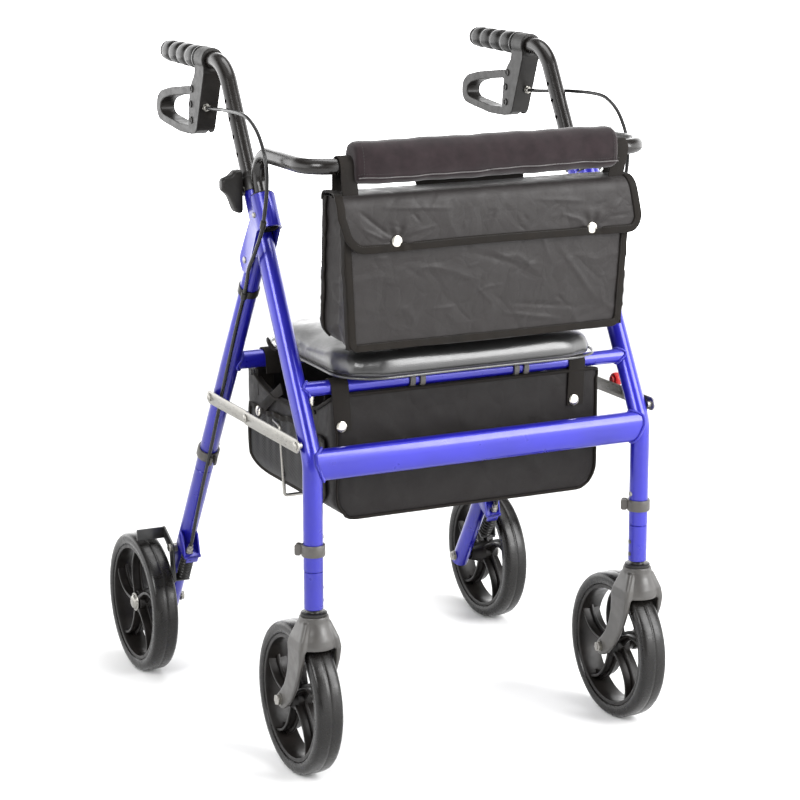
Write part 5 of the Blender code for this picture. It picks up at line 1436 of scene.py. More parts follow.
def housing_slab(half, shrink):
    outline = [(HOUSING_REAR_Y - shrink, HANDLE_Z - 0.004), (HOUSING_FRONT_Y + shrink, HANDLE_Z - 0.004)]
    outline += [(HOUSING_FRONT_Y + 0.001 + shrink, HANDLE_Z - 0.018)]
    outline += arc(LEVER_PIVOT, 0.0165 - shrink, 195, 370, 20)
    outline += [(0.087 - shrink, 0.846), (0.079 - shrink, 0.868), (HOUSING_REAR_Y + 0.004 - shrink,
        0.882)]
    return plate("slab", outline, LEG_X - half, LEG_X + half)


ring = turned("ring", mm((0.1, 0), (0.1, 15.6), (1, 16.1), (31, 16.1), (31.9, 15.6), (31.9, 0)),
    (LEG_X, HOUSING_FRONT_Y, HANDLE_Z), (0, 1, 0), 48)
slot = plate("slot", [(LEVER_PIVOT.x - 0.0105, LEVER_PIVOT.y - 0.05), (LEVER_PIVOT.x + 0.06, LEVER_PIVOT.y
    - 0.05), (LEVER_PIVOT.x + 0.06, LEVER_PIVOT.y + 0.0555), (LEVER_PIVOT.x - 0.0105, LEVER_PIVOT.y
    + 0.0555)], LEG_X - 0.0113, LEG_X + 0.0113)
bore = rod((LEG_X, HOUSING_FRONT_Y - 0.01, HANDLE_Z), (LEG_X, HOUSING_REAR_Y + 0.01, HANDLE_Z), 0.0113,
    48)
housing = melt("housing", [housing_slab(0.0136, 0.0), ring], 0.0008, 4, gather("cut", [slot, bore]))
finish_pair(housing, "brake_housing_shell", HANDLE_PLASTIC, "handle", "grey_plastic", ["brake_housing"],
    0)

PLUG = mm((12, 0), (12, 5), (14.5, 5), (15.2, 4.3), (15.2, 3.3), (14.2, 2.8), (14.2, 0))
plugs = [turned("plug", [(side * along, radius) for along, radius in PLUG], (LEG_X, y, z), steps=28)
    for y, z in mm((74.4, 862.3), (80, 841.4), (79, 820)) for side in (1, -1)]
finish_pair(gather("plugs", plugs), "housing_screw_plugs", BLACK_PLASTIC, "handle", "black_plastic")


# %% Loop lever
def lever_outline(points, count=110, rounding=6):
    corners = [LEVER_PIVOT + Vector(point) for point in points]
    return [tuple(point) for point in even_outline(corners, count, rounding)]


OUTSIDE = mm((5.5, 47.5), (23, 46), (95, 37), (129, 30), (144, 20), (148, 2), (140, -10.5), (122, -13.5),
    (59, -20), (11, -19), (-7, -9), (-9, 3), (-4, 20))
INSIDE = mm((16.5, 34.5), (28, 33.5), (90, 26), (116, 20), (129, 13), (131, 3), (124, -2), (110, -4),
    (59, -8.5), (20, -7.5))
loop = plate("loop", lever_outline(OUTSIDE, rounding=3), LEG_X - 0.0108, LEG_X + 0.0108)
window = plate("window", lever_outline(INSIDE, rounding=3), LEG_X - 0.02, LEG_X + 0.02)
lever = melt("lever", [loop], 0.0009, 5, window)
finish_pair(lever, "brake_lever_loop", HANDLE_PLASTIC, "lever", "grey_plastic", ["brake_lever"], 0)
print("lever faces", len(lever.data.polygons))

# %% [markdown]
# ### Height knob
#
# A wing knob clamps each handle. It is a tall plate whose flanks curve in to a blunt nose above its
# middle, so it is a loft of soft rectangles that shrink and climb towards the nose.

# %% Height knob
KNOB_CENTRE = FRONT.at(KNOB_HOLE)
wings = mm((257.2, 53, 17.2, 0), (258.2, 56.2, 19.6, 0), (262.4, 56, 20, 0), (266.8, 53, 19.6, 0.5),
    (269.4, 46, 19, 1.8), (271.6, 37, 18.4, 3.8), (274.5, 28.5, 17.6, 6.2), (278.5, 21.5, 16.6, 8.2),
    (282.5, 17.2, 15, 9.2), (284.8, 12.5, 10.5, 9.5))
rings = [[(x, KNOB_CENTRE.y + a, KNOB_CENTRE.z + lift + b) for a, b in soft_rectangle(deep, tall,
    min(deep, tall) * 0.28, 5)] for x, tall, deep, lift in wings]
knob = melt("knob", [skin("wings", rings)], 0.0009, 4)
boss = turned("boss", mm((256.8, 3.6), (256.8, 7), (257.2, 7.6), (259, 8), (259, 3.6)), (0, KNOB_CENTRE.y,
    KNOB_CENTRE.z), steps=36)
finish_pair(gather("knob", [knob, boss]), "height_knob_wing", HANDLE_PLASTIC, "knob", "grey_plastic",
    ["height_knob"], 50)
thread = turned("thread", [(LEG_X + 0.0118, 0.0)] + [(LEG_X + 0.0118 + 0.00055 * i, 0.0034 if i % 2
    else 0.0029) for i in range(12)] + [(0.2588, 0.0)], (0, KNOB_CENTRE.y, KNOB_CENTRE.z), steps=28)
washer = sleeve(LEG_X + 0.0129, LEG_X + 0.0144, 0.0036, 0.0068, (0, KNOB_CENTRE.y, KNOB_CENTRE.z))
finish_pair(gather("thread", [thread, washer]), "height_bolt", ZINC, "knob", "zinc")
print("knob centre", [round(v, 4) for v in KNOB_CENTRE])

# %% [markdown]
# ### Brake cables
#
# Each cable runs from the housing over the bracket and down the rear leg to the brake. Its upper end
# moves with the handle and its lower end with the leg, so it is made in three lengths. Each length is
# baked in place between the two bodies that it joins and is attached to neither, and the joins hide
# under the clips that hold the real cable.

# %% Cable route
ROUTE = [(0.244, 0.0484, 0.8395), (0.2455, 0.0225, 0.8405), (0.2495, -0.0085, 0.843), (0.2552, -0.04,
    0.846), (0.2582, -0.065, 0.8475), (0.2606, -0.1025, 0.849), (0.262, -0.1375, 0.847), (0.262, -0.1676,
    0.8345), (0.262, -0.1875, 0.815), (0.262, -0.1995, 0.792), (0.262, -0.2005, 0.768), (0.262, -0.1955,
    0.745), (0.262, -0.1825, 0.709), (0.261, -0.1545, 0.675), (0.26, -0.1325, 0.653), (0.256, -0.115,
    0.633)]
BESIDE_LEG = ((0.05, 0.0125, 0.2515), (0.1, 0.0125, 0.2512), (0.17, 0.0135, 0.25), (0.24, 0.015, 0.2485),
    (0.32, 0.017, 0.2465), (0.4, 0.02, 0.246), (0.465, 0.025, 0.246), (0.5, BOOT_OFFSET, BOOT_X),
    (BRACKET_ALONG - 0.0125, BOOT_OFFSET, BOOT_X))
route = smooth_path(ROUTE + [REAR.at(along, front, x) for along, front, x in BESIDE_LEG], 0.0045)
length = sum((b - a).length for a, b in zip(route, route[1:]))
print("cable", round(length, 3), "m")


def nearest(point):
    return min(range(len(route)), key=lambda i: (route[i] - Vector(point)).length)


# %% Cable pieces and their clips
UPPER_END = nearest((0.262, -0.185, 0.716))
MIDDLE_END = nearest(REAR.at(0.052, 0.0125, 0.2515))


def cable_piece(name, first, last, body_a, body_b):
    """One length of casing along the route, baked in place and attached to neither of its two bodies."""
    for side, sign in SIDES:
        points = [Vector((sign * p.x, p.y, p.z)) for p in route[first:last + 1]]
        piece = tube(side + "_" + name, points, 0.0025, 20, 0.0003)
        bend = (own(side, body_a), own(side, body_b), tuple(points[2]), tuple(points[-3]))
        finish(piece, CABLE_SHEATH, bend, "black_plastic", [side + "_brake_cable"], 60)


cable_piece("upper_cable", 0, UPPER_END, "handle", "frame")
cable_piece("middle_cable", UPPER_END, MIDDLE_END, "frame", "rear_frame")
cable_piece("lower_cable", MIDDLE_END, len(route) - 1, "rear_frame", "rear_foot")

FERRULE = mm((-3.5, 2.6), (-3.5, 4), (1, 4.2), (6, 4.2), (6.8, 3.6), (6.8, 2.6))
ferrule = turned("ferrule", FERRULE, route[0], route[1] - route[0], 28)
nut = hex_piece(-0.0006, 0.0026, route[0], 0.01, route[1] - route[0])
finish_pair(gather("ferrule", [ferrule, nut]), "cable_ferrule", ZINC, "handle", "zinc")


def cable_tie(name, index, body, half=0.0055):
    """A rubber sleeve over the cable."""
    way = route[index + 1] - route[index - 1]
    sleeve = turned("sleeve", [(-half, 0.0026), (-half, 0.0035), (-half + 0.001, 0.004), (half - 0.001,
        0.004), (half, 0.0035), (half, 0.0026)], route[index], way, 28)
    finish_pair(sleeve, name, BLACK_PLASTIC, body, "black_plastic")


cable_tie("cable_sleeve_at_bracket", UPPER_END, "frame")
cable_tie("cable_sleeve_at_leg", MIDDLE_END, "rear_frame")

loop_clip = sleeve(-0.0055, 0.0055, 0.0128, 0.0141, REAR.at(0.052), REAR_RUN, 48)
finish_pair(loop_clip, "cable_loop_clip", BLACK_PLASTIC, "rear_frame", "black_plastic")
print("cable pieces", UPPER_END, MIDDLE_END, len(route))

# %% [markdown]
# ## The seat
#
# The cushion is foam under vinyl. Foam pushes outwards and vinyl holds it in, so the skin is full in
# the middle and drawn tight at the seam near its foot. Cloth simulation gives exactly that: a slightly
# small skin is blown up with air pressure while its foot is held, and each point's travel is capped.

# %% Blowing up a padded skin
def soft_ring(half_x, half_y, corner, pull_in, spacing):
    """A rounded rectangle round the origin whose sides draw in, as evenly spaced (x, y) points."""
    outline = soft_rectangle(2 * half_x, 2 * half_y, corner, 12)
    count = round(4 * (half_x + half_y) / spacing / 4) * 4
    points = []
    for point in even_outline(outline, count):
        along_x = max(0.0, 1 - (point.x / (half_x - corner * 0.3)) ** 2)
        along_y = max(0.0, 1 - (point.y / (half_y - corner * 0.3)) ** 2)
        side_x = abs(point.y) / half_y > 0.95
        point.y -= math.copysign(pull_in * along_x, point.y) if side_x else 0.0
        point.x -= 0.0 if side_x else math.copysign(pull_in * along_y, point.x)
        points.append((point.x, point.y))
    return points


def blow_up(piece, voxel, pressure, travel, held):
    """Inflate a closed skin. held(point) says which points stay where they are."""
    modify(piece, "REMESH", mode="VOXEL", voxel_size=voxel, adaptivity=0.0)
    scene = bpy.context.scene
    start = [vertex.co.copy() for vertex in piece.data.vertices]
    group = piece.vertex_groups.new(name="held")
    group.add([i for i, point in enumerate(start) if held(point)], 1.0, "REPLACE")
    cloth = piece.modifiers.new("cloth", "CLOTH")
    cloth.settings.quality = 4
    cloth.settings.use_pressure = True
    cloth.settings.uniform_pressure_force = pressure
    cloth.settings.effector_weights.gravity = 0.0
    cloth.settings.vertex_group_mass = "held"
    for step in range(1, 21):
        scene.frame_set(step)
    swollen = piece.evaluated_get(bpy.context.evaluated_depsgraph_get())
    moved = [vertex.co.copy() for vertex in swollen.data.vertices]
    piece.modifiers.clear()
    piece.vertex_groups.clear()
    for vertex, before, after in zip(piece.data.vertices, start, moved):
        shift = after - before
        if shift.length > travel:
            shift *= travel / shift.length
        vertex.co = before + shift
    scene.frame_set(1)
    modify(piece, "SMOOTH", factor=0.5, iterations=4)
    return modify(piece, "SUBSURF", levels=1, render_levels=1)


# %% Seat cushion
SEAT_MIDDLE_X = -0.01
SEAT_MIDDLE_Y = -0.1525
SEAT_HALF_X = 0.19
SEAT_HALF_Y = 0.15
SEAT_FOOT_Z = 0.5265
SEAT_LAYERS = mm((14, 0), (5, 0.6), (1.2, 3), (0.4, 5.6), (2.2, 8.4), (1.6, 12), (1.4, 18), (3.6, 25),
    (11, 32), (26, 37.5), (50, 41.2), (85, 43.6), (120, 44.6), (140, 44.9))


def seat_ring(inset, z, spacing=0.005):
    corner = min(0.062 + inset * 0.3, SEAT_HALF_Y - inset - 0.002)
    return [(SEAT_MIDDLE_X + x, SEAT_MIDDLE_Y + y, z) for x, y in soft_ring(SEAT_HALF_X - inset,
        SEAT_HALF_Y - inset, corner, 0.0035, spacing)]


rings = [seat_ring(inset, SEAT_FOOT_Z + rise, 0.008) for inset, rise in SEAT_LAYERS]
count = min(len(ring) for ring in rings)
rings = [[ring[int(i * len(ring) / count)] for i in range(count)] for ring in rings]
cushion = skin("seat_cushion_foam", rings)
blow_up(cushion, 0.005, 0.6, 0.0026, lambda p: p.z < SEAT_FOOT_Z + 0.0095)
modify(cushion, "SMOOTH", factor=0.5, iterations=60)
for vertex in cushion.data.vertices:
    vertex.co.z = max(vertex.co.z, SEAT_FOOT_Z)
finish(cushion, VINYL, "seat", "vinyl", ["seat_cushion"], 0)
cushion.data.shade_smooth()
print("seat height", round(max(v.co.z for v in cushion.data.vertices) - SEAT_FOOT_Z, 4))

# %% [markdown]
# The skin is sewn to its base cover through a folded edge. Seen from the side that is a thin roll of
# vinyl with a groove above it, and a row of stitches in the groove. Both follow the cushion's outline,
# so both start from the same ring of points. At the front right corner the fold sticks out a little.

# %% Seat piping and stitches
piping_line = []
for point in seat_ring(0.0004, SEAT_FOOT_Z + 0.0034, 0.004):
    corner_fold = 0.003 * math.exp(-((point[0] - 0.16) ** 2 + (point[1] + 0.292) ** 2) / 0.0001)
    piping_line.append(Vector((point[0] + corner_fold, point[1] - corner_fold * 0.6, point[2]
        + corner_fold * 0.5)))
piping = sweep("seat_piping", piping_line, circle(0.0018, 14), caps=False, loop=True)
finish(piping, VINYL, "seat", "vinyl", degrees=60)
stitches("seat_stitches", [seat_ring(0.0002, SEAT_FOOT_Z + 0.0066, 0.004)], "seat", "vinyl", 0.004,
    0.0007, True)

# %% Seat board, clips and feet
BOARD_TOP = SEAT_FOOT_Z - 0.0003
BOARD_LOW = BOARD_TOP - 0.005
board_ring = soft_ring(0.1445, 0.1295, 0.03, 0.0, 0.006)
board = skin("board", [[(x, -0.1425 + y, z) for x, y in board_ring] for z in (BOARD_LOW, BOARD_TOP)])
round_edges(board, 0.0008, 2, 40)
parts = [board]
for side in (1, -1):
    joiner = plate("joiner", [(-0.252, BOARD_LOW + 0.0006), (-0.229, BOARD_LOW + 0.0006),
        (-0.229, 0.5192), (-0.252, 0.5192)], side * 0.076 - 0.0108, side * 0.076 + 0.0108)
    parts.append(round_edges(joiner, 0.0006, 2, 40))
    for offset in (-0.0072, 0.0072):
        x = side * 0.076 + offset
        parts.append(turned("band", mm((-3.8, 9.8), (-3.8, 12.2), (-3.2, 12.8), (3.2, 12.8), (3.8, 12.2),
            (3.8, 9.8)), (x, FRONT_BAR_Y, FRONT_BAR_Z), steps=40))
        neck = plate("neck", [(-0.2505, 0.5165), (-0.2285, 0.5165), (-0.2285, BOARD_LOW + 0.001),
            (-0.2505, BOARD_LOW + 0.001)], x - 0.0038, x + 0.0038)
        parts.append(round_edges(neck, 0.0008, 2, 40))
    foot = plate("foot", [(-0.0265, 0.5177), (-0.0135, 0.5177), (-0.0135, BOARD_LOW + 0.001),
        (-0.0265, BOARD_LOW + 0.001)], side * 0.12 - 0.012, side * 0.12 + 0.012)
    parts.append(round_edges(foot, 0.0012, 2, 40))
finish(gather("seat_board_plate", parts), GREY_PLASTIC, "seat", "grey_plastic", ["seat_board"])
SCREW = mm((0, 0), (0, 4.4), (-1, 4.2), (-1.8, 2.8), (-1.9, 1.6), (-1.2, 1.2), (-1.2, 0))
screws = [turned("screw", SCREW, (x, y, BOARD_LOW), (0, 0, 1), 24) for x in (-0.12, -0.04, 0.04, 0.12)
    for y in (-0.2, -0.09)]
finish(gather("seat_board_screws", screws), ZINC, "seat", "zinc")
pull_path = smooth_path(mm((-196, -68, 526.8), (-201, -66, 530), (-204.5, -59.5, 538), (-201, -53, 530),
    (-196, -51, 526.8)), 0.002)
pull = sweep("seat_pull_loop", pull_path, soft_rectangle(0.0014, 0.01, 0.0005, 2), across=(1, 0, 0))
finish(pull, WEBBING, "seat", "nylon")
print("board pieces", len(parts))

# %% [markdown]
# ## The backrest
#
# The backrest is a folded sleeve of suede round the crossing bar. Its front panel is nearly flat, its
# upper edge is a fold, and low on the front a turned hem with a shiny edge runs from end to end; the
# hem is painted lighter than the suede, a painted highlight along that edge. It is blown up like the
# seat, but only a little, because the foam inside is thin.


# %% Backrest sleeve
PAD_HALF = 0.186
PAD_Y = -0.2855
PAD_Z = 0.803
PAD_SECTION = mm((-21.2, -15), (-21.8, -8.5), (-21.4, 4), (-17.8, 17.5), (-11, 24.8), (1, 26.8),
    (12.5, 24.5), (19, 16.5), (20.5, 4), (19.8, -12), (16.5, -21.5), (7, -27), (-7, -28.2),
    (-16.5, -26.5), (-20.6, -21.5))


def pad_ring(x, shrink, count=56):
    corners = [(y * shrink, z * shrink) for y, z in PAD_SECTION]
    return [(x, PAD_Y + p.x, PAD_Z + p.y) for p in even_outline(corners, count, 2)]


stations = [(-PAD_HALF, 0.86), (-PAD_HALF + 0.002, 0.93), (-PAD_HALF + 0.006, 0.97)]
stations += [(-PAD_HALF + 0.01 + (2 * PAD_HALF - 0.02) * i / 40, 0.985) for i in range(41)]
stations += [(-x, size) for x, size in reversed(stations[:3])]
pad = skin("backrest_sleeve", [pad_ring(x, size) for x, size in stations])
blow_up(pad, 0.0042, 2.0, 0.0016, lambda p: abs(p.x) > PAD_HALF - 0.006)


def pad_wave(x):
    """Slow waves along the sleeve, half a millimetre high."""
    return 0.0005 * math.sin(x * 61.0) + 0.0004 * math.sin(x * 143.0 + 1.3)


for vertex in pad.data.vertices:
    wave = pad_wave(vertex.co.x)
    vertex.co.y += wave
    vertex.co.z += wave * 0.7
finish(pad, SUEDE, "frame", "suede", ["backrest_pad"], 0)
pad.data.shade_smooth()


def pad_front(x, z, proud):
    """A point on the sleeve's front at a given height, standing proud of it."""
    wave = pad_wave(x)
    return Vector((x, PAD_Y - 0.0205 - proud + wave, PAD_Z + z + wave * 0.7))


xs = [-PAD_HALF + 0.002 + (2 * PAD_HALF - 0.004) * i / 60 for i in range(61)]
hem_section = soft_rectangle(0.0014, 0.0016, 0.0006, 3)
hem = sweep("backrest_hem", [pad_front(x, -0.0176 + 0.0012 * math.sin(x * 17.0), 0.0003) for x in xs],
    hem_section, across=(0, 1, 0))
# The hem's lighter colour is a painted highlight.
finish(hem, HEM_PAINTED_HIGHLIGHT, "frame", "suede")
end_lines = []
for side in (1, -1):
    x = side * (PAD_HALF - 0.0085)
    end_lines.append([(x, PAD_Y + p.x * 1.035, PAD_Z + p.y * 1.035) for p in even_outline(PAD_SECTION, 60,
        2)[:26]])
end_lines.append([pad_front(x, -0.0135, 0.0006) for x in xs])
stitches("backrest_stitches", end_lines, "frame", "suede", 0.0036, 0.0008)
print("sleeve points", len(pad.data.vertices))

# %% [markdown]
# ## The saddle bag
#
# The bag is sewn from thin coated nylon: a front panel, a back, side walls that fold inwards, and a flap
# held by two snaps. Such cloth never lies flat. The shell is a loft of rings from floor to rim. Each
# panel swells a little, and on top of that come creases of three kinds: a few long folds that follow
# the pull of the snaps, short ones thrown in by a seeded generator, and the finest ones in the finish.

# %% Creases
def crumple(point, size, depth, seed=0.0):
    """Soft creases: ridges where slow noise crosses zero."""
    value = cloth_noise.noise(Vector(point) / size + Vector((seed, seed * 1.7, seed * 0.3)))
    return depth * (1 - min(1.0, abs(value) * 2.6)) ** 2


def fold(x, z, row):
    """A straight crease between two points of a panel, fading at both ends."""
    start_x, start_z, end_x, end_z, width, height = row
    run_x, run_z = end_x - start_x, end_z - start_z
    length = run_x * run_x + run_z * run_z
    share = max(0.0, min(1.0, ((x - start_x) * run_x + (z - start_z) * run_z) / length))
    away = math.hypot(x - start_x - run_x * share, z - start_z - run_z * share) / width
    return height * math.exp(-away * away) * math.sin(math.pi * (0.1 + 0.8 * share)) if away < 3 else 0.0


def short_folds(seed, count, low, high, lengths, width, height):
    """Seeded creases scattered over a panel."""
    chance = random.Random(seed)
    made = []
    for _ in range(count):
        x, z = chance.uniform(low[0], high[0]), chance.uniform(low[1], high[1])
        angle, length = chance.uniform(-0.9, 0.9), chance.uniform(*lengths)
        shift_x, shift_z = math.cos(angle) * length / 2, math.sin(angle) * length / 2
        made.append((x - shift_x, z - shift_z, x + shift_x, z + shift_z, width * chance.uniform(0.7, 1.4),
            height * chance.choice((-1, 1)) * chance.uniform(0.5, 1.2)))
    return made


# %% Bag shell
BAG_FRONT_Y = -0.3035
BAG_REAR_Y = -0.2435
BAG_TOP_Z = 0.7585
BAG_LOW_Z = 0.5665
PANEL_FOLDS = mm((-150, 600, -60, 650, 4, 0.8), (50, 585, 120, 640, 3.2, 0.8), (-20, 680, 40, 660, 3.5,
    -0.8), (100, 680, 160, 600, 4, 0.8), (20, 600, 100, 585, 3, 1.4), (30, 612, 120, 600, 3, -1.2))
PANEL_FOLDS += short_folds(5, 34, (-0.17, 0.585), (0.18, 0.685), (0.01, 0.04), 0.0022, 0.0006)


def bag_corners(v):
    """x of the front left, front right, back right and back left edges, from floor to rim."""
    round_off = 0.01 * max(0.0, 1 - v / 0.12) ** 2
    return (-0.1965 - 0.009 * v, 0.1915 + 0.0135 * v, 0.196 + 0.008 * v - round_off, -0.21 + 0.006 * v
        + round_off)


def bag_point(face, u, v):
    """A point of the shell. u runs along a face from 0 to 1 and v from floor to rim."""
    front_left, front_right, back_right, back_left = bag_corners(v)
    rise = BAG_LOW_Z + (BAG_TOP_Z - BAG_LOW_Z) * v
    slope = 0.015 * (1 - v) ** 2
    swell = math.sin(math.pi * u) ** 0.8 * math.sin(math.pi * min(1.0, v * 1.02 + 0.02)) ** 0.7
    if face == "front":
        x = front_left + (front_right - front_left) * u
        out = 0.0038 * swell + crumple((x, 0, rise), 0.055, 0.0008)
        edge = min(1.0, 12 * min(u, 1 - u, v + 0.02))
        out += edge * sum(fold(x, rise, row) for row in PANEL_FOLDS)
        corner_lift = 0.004 * (1 - v) ** 3 * (2 * u - 1) ** 2
        return Vector((x, BAG_FRONT_Y - out + 0.001, rise + corner_lift))
    if face == "back":
        x = back_right + (back_left - back_right) * u
        out = 0.002 * swell + crumple((x, 6, rise), 0.05, 0.001)
        return Vector((x, BAG_REAR_Y + out, rise + slope))
    if face == "left":
        u = 1 - u
    near, far = (front_right, back_right) if face == "right" else (front_left, back_left)
    sign = 1 if face == "right" else -1
    y = BAG_FRONT_Y + (BAG_REAR_Y - BAG_FRONT_Y) * u
    tuck = 0.013 * (1 - abs(2 * u - 1)) ** 0.9 * (0.35 + 0.65 * v)
    x = near + (far - near) * u + sign * (crumple((sign, y, rise), 0.03, 0.0014) - tuck)
    return Vector((x, y, rise + slope * u + 0.004 * (1 - v) ** 3 * (1 - u)))


def bag_ring(v, shrink=1.0):
    ring = []
    for face, count in (("front", 230), ("right", 22), ("back", 70), ("left", 22)):
        ring += [bag_point(face, step / count, v) for step in range(count)]
    if shrink < 1.0:
        middle = sum(ring, Vector()) / len(ring)
        ring = [Vector((middle.x + (p.x - middle.x) * shrink, middle.y + (p.y - middle.y) * shrink, p.z))
            for p in ring]
    return ring


rings = [bag_ring(0.0, 0.55), bag_ring(0.0, 0.93), bag_ring(0.0, 0.985)]
rings += [bag_ring(step / 110) for step in range(111)]
rings += [bag_ring(1.0, 0.98), bag_ring(1.0, 0.6)]
bag = skin("saddle_bag_shell", rings)
finish(bag, NYLON, "bag", "nylon", ["saddle_bag"], 50)
print("bag shell", len(bag.data.polygons), "faces")

# %% [markdown]
# ### Binding tape, flap and snaps
#
# Every raw edge is bound with ribbed tape. Tape is a flat ribbon whose face must follow the cloth, so
# each ribbon is swept with the surface's own direction at every point. The flap is one sheet, drawn as
# a row of profiles from the back of the rim, over the top and down the front; it leans to one side and
# puckers round its snaps.


# %% Ribbons that follow a surface
def ribbon(name, path, normals, width, thick, body, material=None, slot="nylon", replaced=()):
    """A flat tape along a path, with its face turned to the given directions."""
    rings = []
    for index, point in enumerate(path):
        run = (path[min(index + 1, len(path) - 1)] - path[max(index - 1, 0)]).normalized()
        normal = (normals[index] - run * normals[index].dot(run)).normalized()
        across = run.cross(normal)
        rings.append([point + normal * a + across * b for a, b in soft_rectangle(thick, width, thick
            * 0.42, 3)])
    made = skin(name, rings)
    return finish(made, material or BINDING, body, slot, replaced) if body else made


def edge_path(corners, bends, spacing=0.004):
    """A rounded path resampled evenly, for tape."""
    path = rounded_path(corners, bends, 8)
    points = [path[0]]
    for a, b in zip(path, path[1:]):
        steps = max(1, round((b - a).length / spacing))
        points += [a.lerp(b, (i + 1) / steps) for i in range(steps)]
    return points


def panel_tape(name, y, normal, lefts, rights, low_z, bends):
    """Tape down one side of a panel, along its foot and up the other side."""
    corners = [(lefts[1] + 0.0038, y, BAG_TOP_Z), (lefts[0] + 0.0038, y, low_z), (rights[0] - 0.0038, y,
        low_z), (rights[1] - 0.0038, y, BAG_TOP_Z)]
    path = edge_path(corners, bends)
    for index, point in enumerate(path):
        point.y += 0.0003 * math.sin(index * 0.9)
    ribbon(name, path, [Vector((0, normal, 0))] * len(path), 0.01, 0.0026, "bag")
    return path


low, top = bag_corners(0.0), bag_corners(1.0)
front_edge = panel_tape("bag_front_binding", BAG_FRONT_Y - 0.0008, -1, (low[0], top[0]), (low[1], top[1]),
    BAG_LOW_Z + 0.0062, (0.007, 0.01))
panel_tape("bag_back_binding", BAG_REAR_Y + 0.0006, 1, (low[3] - 0.008, top[3]), (low[2] + 0.008, top[2]),
    BAG_LOW_Z + 0.019, (0.022, 0.022))
inner = [p + Vector((0.004 if p.x < 0 else -0.004, -0.0015, 0.0)) for p in front_edge if abs(p.x) > 0.18
    and p.z > 0.585]
sides = [[p for p in inner if p.x < 0], [p for p in inner if p.x > 0]]
bottom = [p + Vector((0, -0.0015, 0.0042)) for p in front_edge if p.z < 0.574]
stitches("bag_front_stitches", sides + [bottom], "bag", "nylon", 0.0034, 0.0007)
for face, sign in (("left", -1), ("right", 1)):
    for place, u in (("front", 0.05), ("back", 0.93)):
        share = u if face == "right" else 1 - u
        edge = [bag_point(face, share, step / 50) + Vector((sign * 0.0007, 0, 0)) for step in range(51)]
        edge = [p + Vector((sign * 0.0009 * (p.y < -0.28), 0, 0)) for p in edge]
        ribbon(face + "_bag_" + place + "_edge", edge, [Vector((sign, 0.12 if place == "back" else -0.12,
            0))] * 51, 0.0088, 0.0024, "bag")

# %% Flap
FLAP_PROFILE = smooth_path(mm((0, -242.5, 743), (0, -241.8, 755), (0, -247, 763), (0, -265, 765.2),
    (0, -288, 765), (0, -301.5, 762.5), (0, -308.5, 754.5), (0, -310.8, 742), (0, -311.6, 723),
    (0, -311.2, 706), (0, -310.4, 693.5)), 0.0028)
SNAPS = ((-0.1339, 0.705), (0.1439, 0.702))
FLAP_STATIONS = (0.0, 0.35, 0.55, 0.7, 0.85, 1.0)
FLAP_LEFT = (-0.204, -0.2075, -0.215, -0.214, -0.2065, -0.1965)
FLAP_RIGHT = (0.204, 0.2045, 0.207, 0.211, 0.2155, 0.2165)
FLAP_FOLDS = mm((-185, 744, -142, 710, 2.4, -1.8), (-180, 722, -148, 706, 2, 1.2), (-150, 748, -60, 742,
    2.8, 1.2), (-120, 735, -100, 744, 2, -1), (195, 742, 152, 708, 2.8, 1.6), (165, 715, 200, 716, 2,
    -1.2), (60, 745, 130, 738, 2.6, 1.2), (-128, 712, -80, 722, 2.2, 1), (138, 710, 100, 722, 2.2, 1))
FLAP_FOLDS += short_folds(11, 26, (-0.19, 0.7), (0.2, 0.752), (0.008, 0.03), 0.0018, 0.0006)


def flap_point(u, v):
    """u from the left edge to the right, v from the back of the rim to the free edge."""
    index = min(int(v * (len(FLAP_PROFILE) - 1)), len(FLAP_PROFILE) - 2)
    base = FLAP_PROFILE[index].lerp(FLAP_PROFILE[index + 1], v * (len(FLAP_PROFILE) - 1) - index)
    drop = max(0.0, min(1.0, (v - 0.35) / 0.65))
    left = float(np.interp(v, FLAP_STATIONS, FLAP_LEFT))
    right = float(np.interp(v, FLAP_STATIONS, FLAP_RIGHT))
    x = left + (right - left) * u
    z = base.z + 0.002 * drop * math.sin(math.pi * u) ** 2
    out = 0.0022 * drop * math.sin(math.pi * u) + crumple((x, 12, z), 0.06, 0.001 * drop)
    out += 0.0006 * drop * math.sin(x * 44.0)
    if drop > 0:
        out += min(1.0, 14 * min(u, 1 - u, 1.02 - v)) * sum(fold(x, z, row) for row in FLAP_FOLDS)
        for snap_x, snap_z in SNAPS:
            away = math.hypot(x - snap_x, z - snap_z)
            turn_round = math.atan2(z - snap_z, x - snap_x)
            out -= 0.0026 * math.exp(-(away / 0.011) ** 2)
            out += 0.0008 * math.cos(7 * turn_round) * math.exp(-((away - 0.014) / 0.01) ** 2)
    return Vector((x, base.y - out if v > 0.35 else base.y, z if v > 0.35 else base.z + out * 0.3))


def flap_normal(u, v):
    step = 0.004
    across = flap_point(min(1, u + step), v) - flap_point(max(0, u - step), v)
    down = flap_point(u, min(1, v + step * 4)) - flap_point(u, max(0, v - step * 4))
    return across.cross(down).normalized() * -1


def sheet(name, point, columns, rows):
    """One layer of cloth. point(column, row) gives its places, both from 0 to 1."""
    bm = bmesh.new()
    grid = [[bm.verts.new(point(column / columns, row / rows)) for column in range(columns + 1)]
        for row in range(rows + 1)]
    for a, b in zip(grid, grid[1:]):
        for column in range(columns):
            bm.faces.new((a[column], a[column + 1], b[column + 1], b[column]))
    return keep(name, bm)


CORNER_U, CORNER_V = 0.042, 0.15


def flap_sheet_point(share, v):
    """A point of the flap with its two lower corners rounded off."""
    pull = max(0.0, (v - (1 - CORNER_V)) / CORNER_V)
    edge = CORNER_U * (1 - math.sqrt(max(0.0, 1 - pull * pull)))
    return flap_point(edge + (1 - 2 * edge) * share, v)


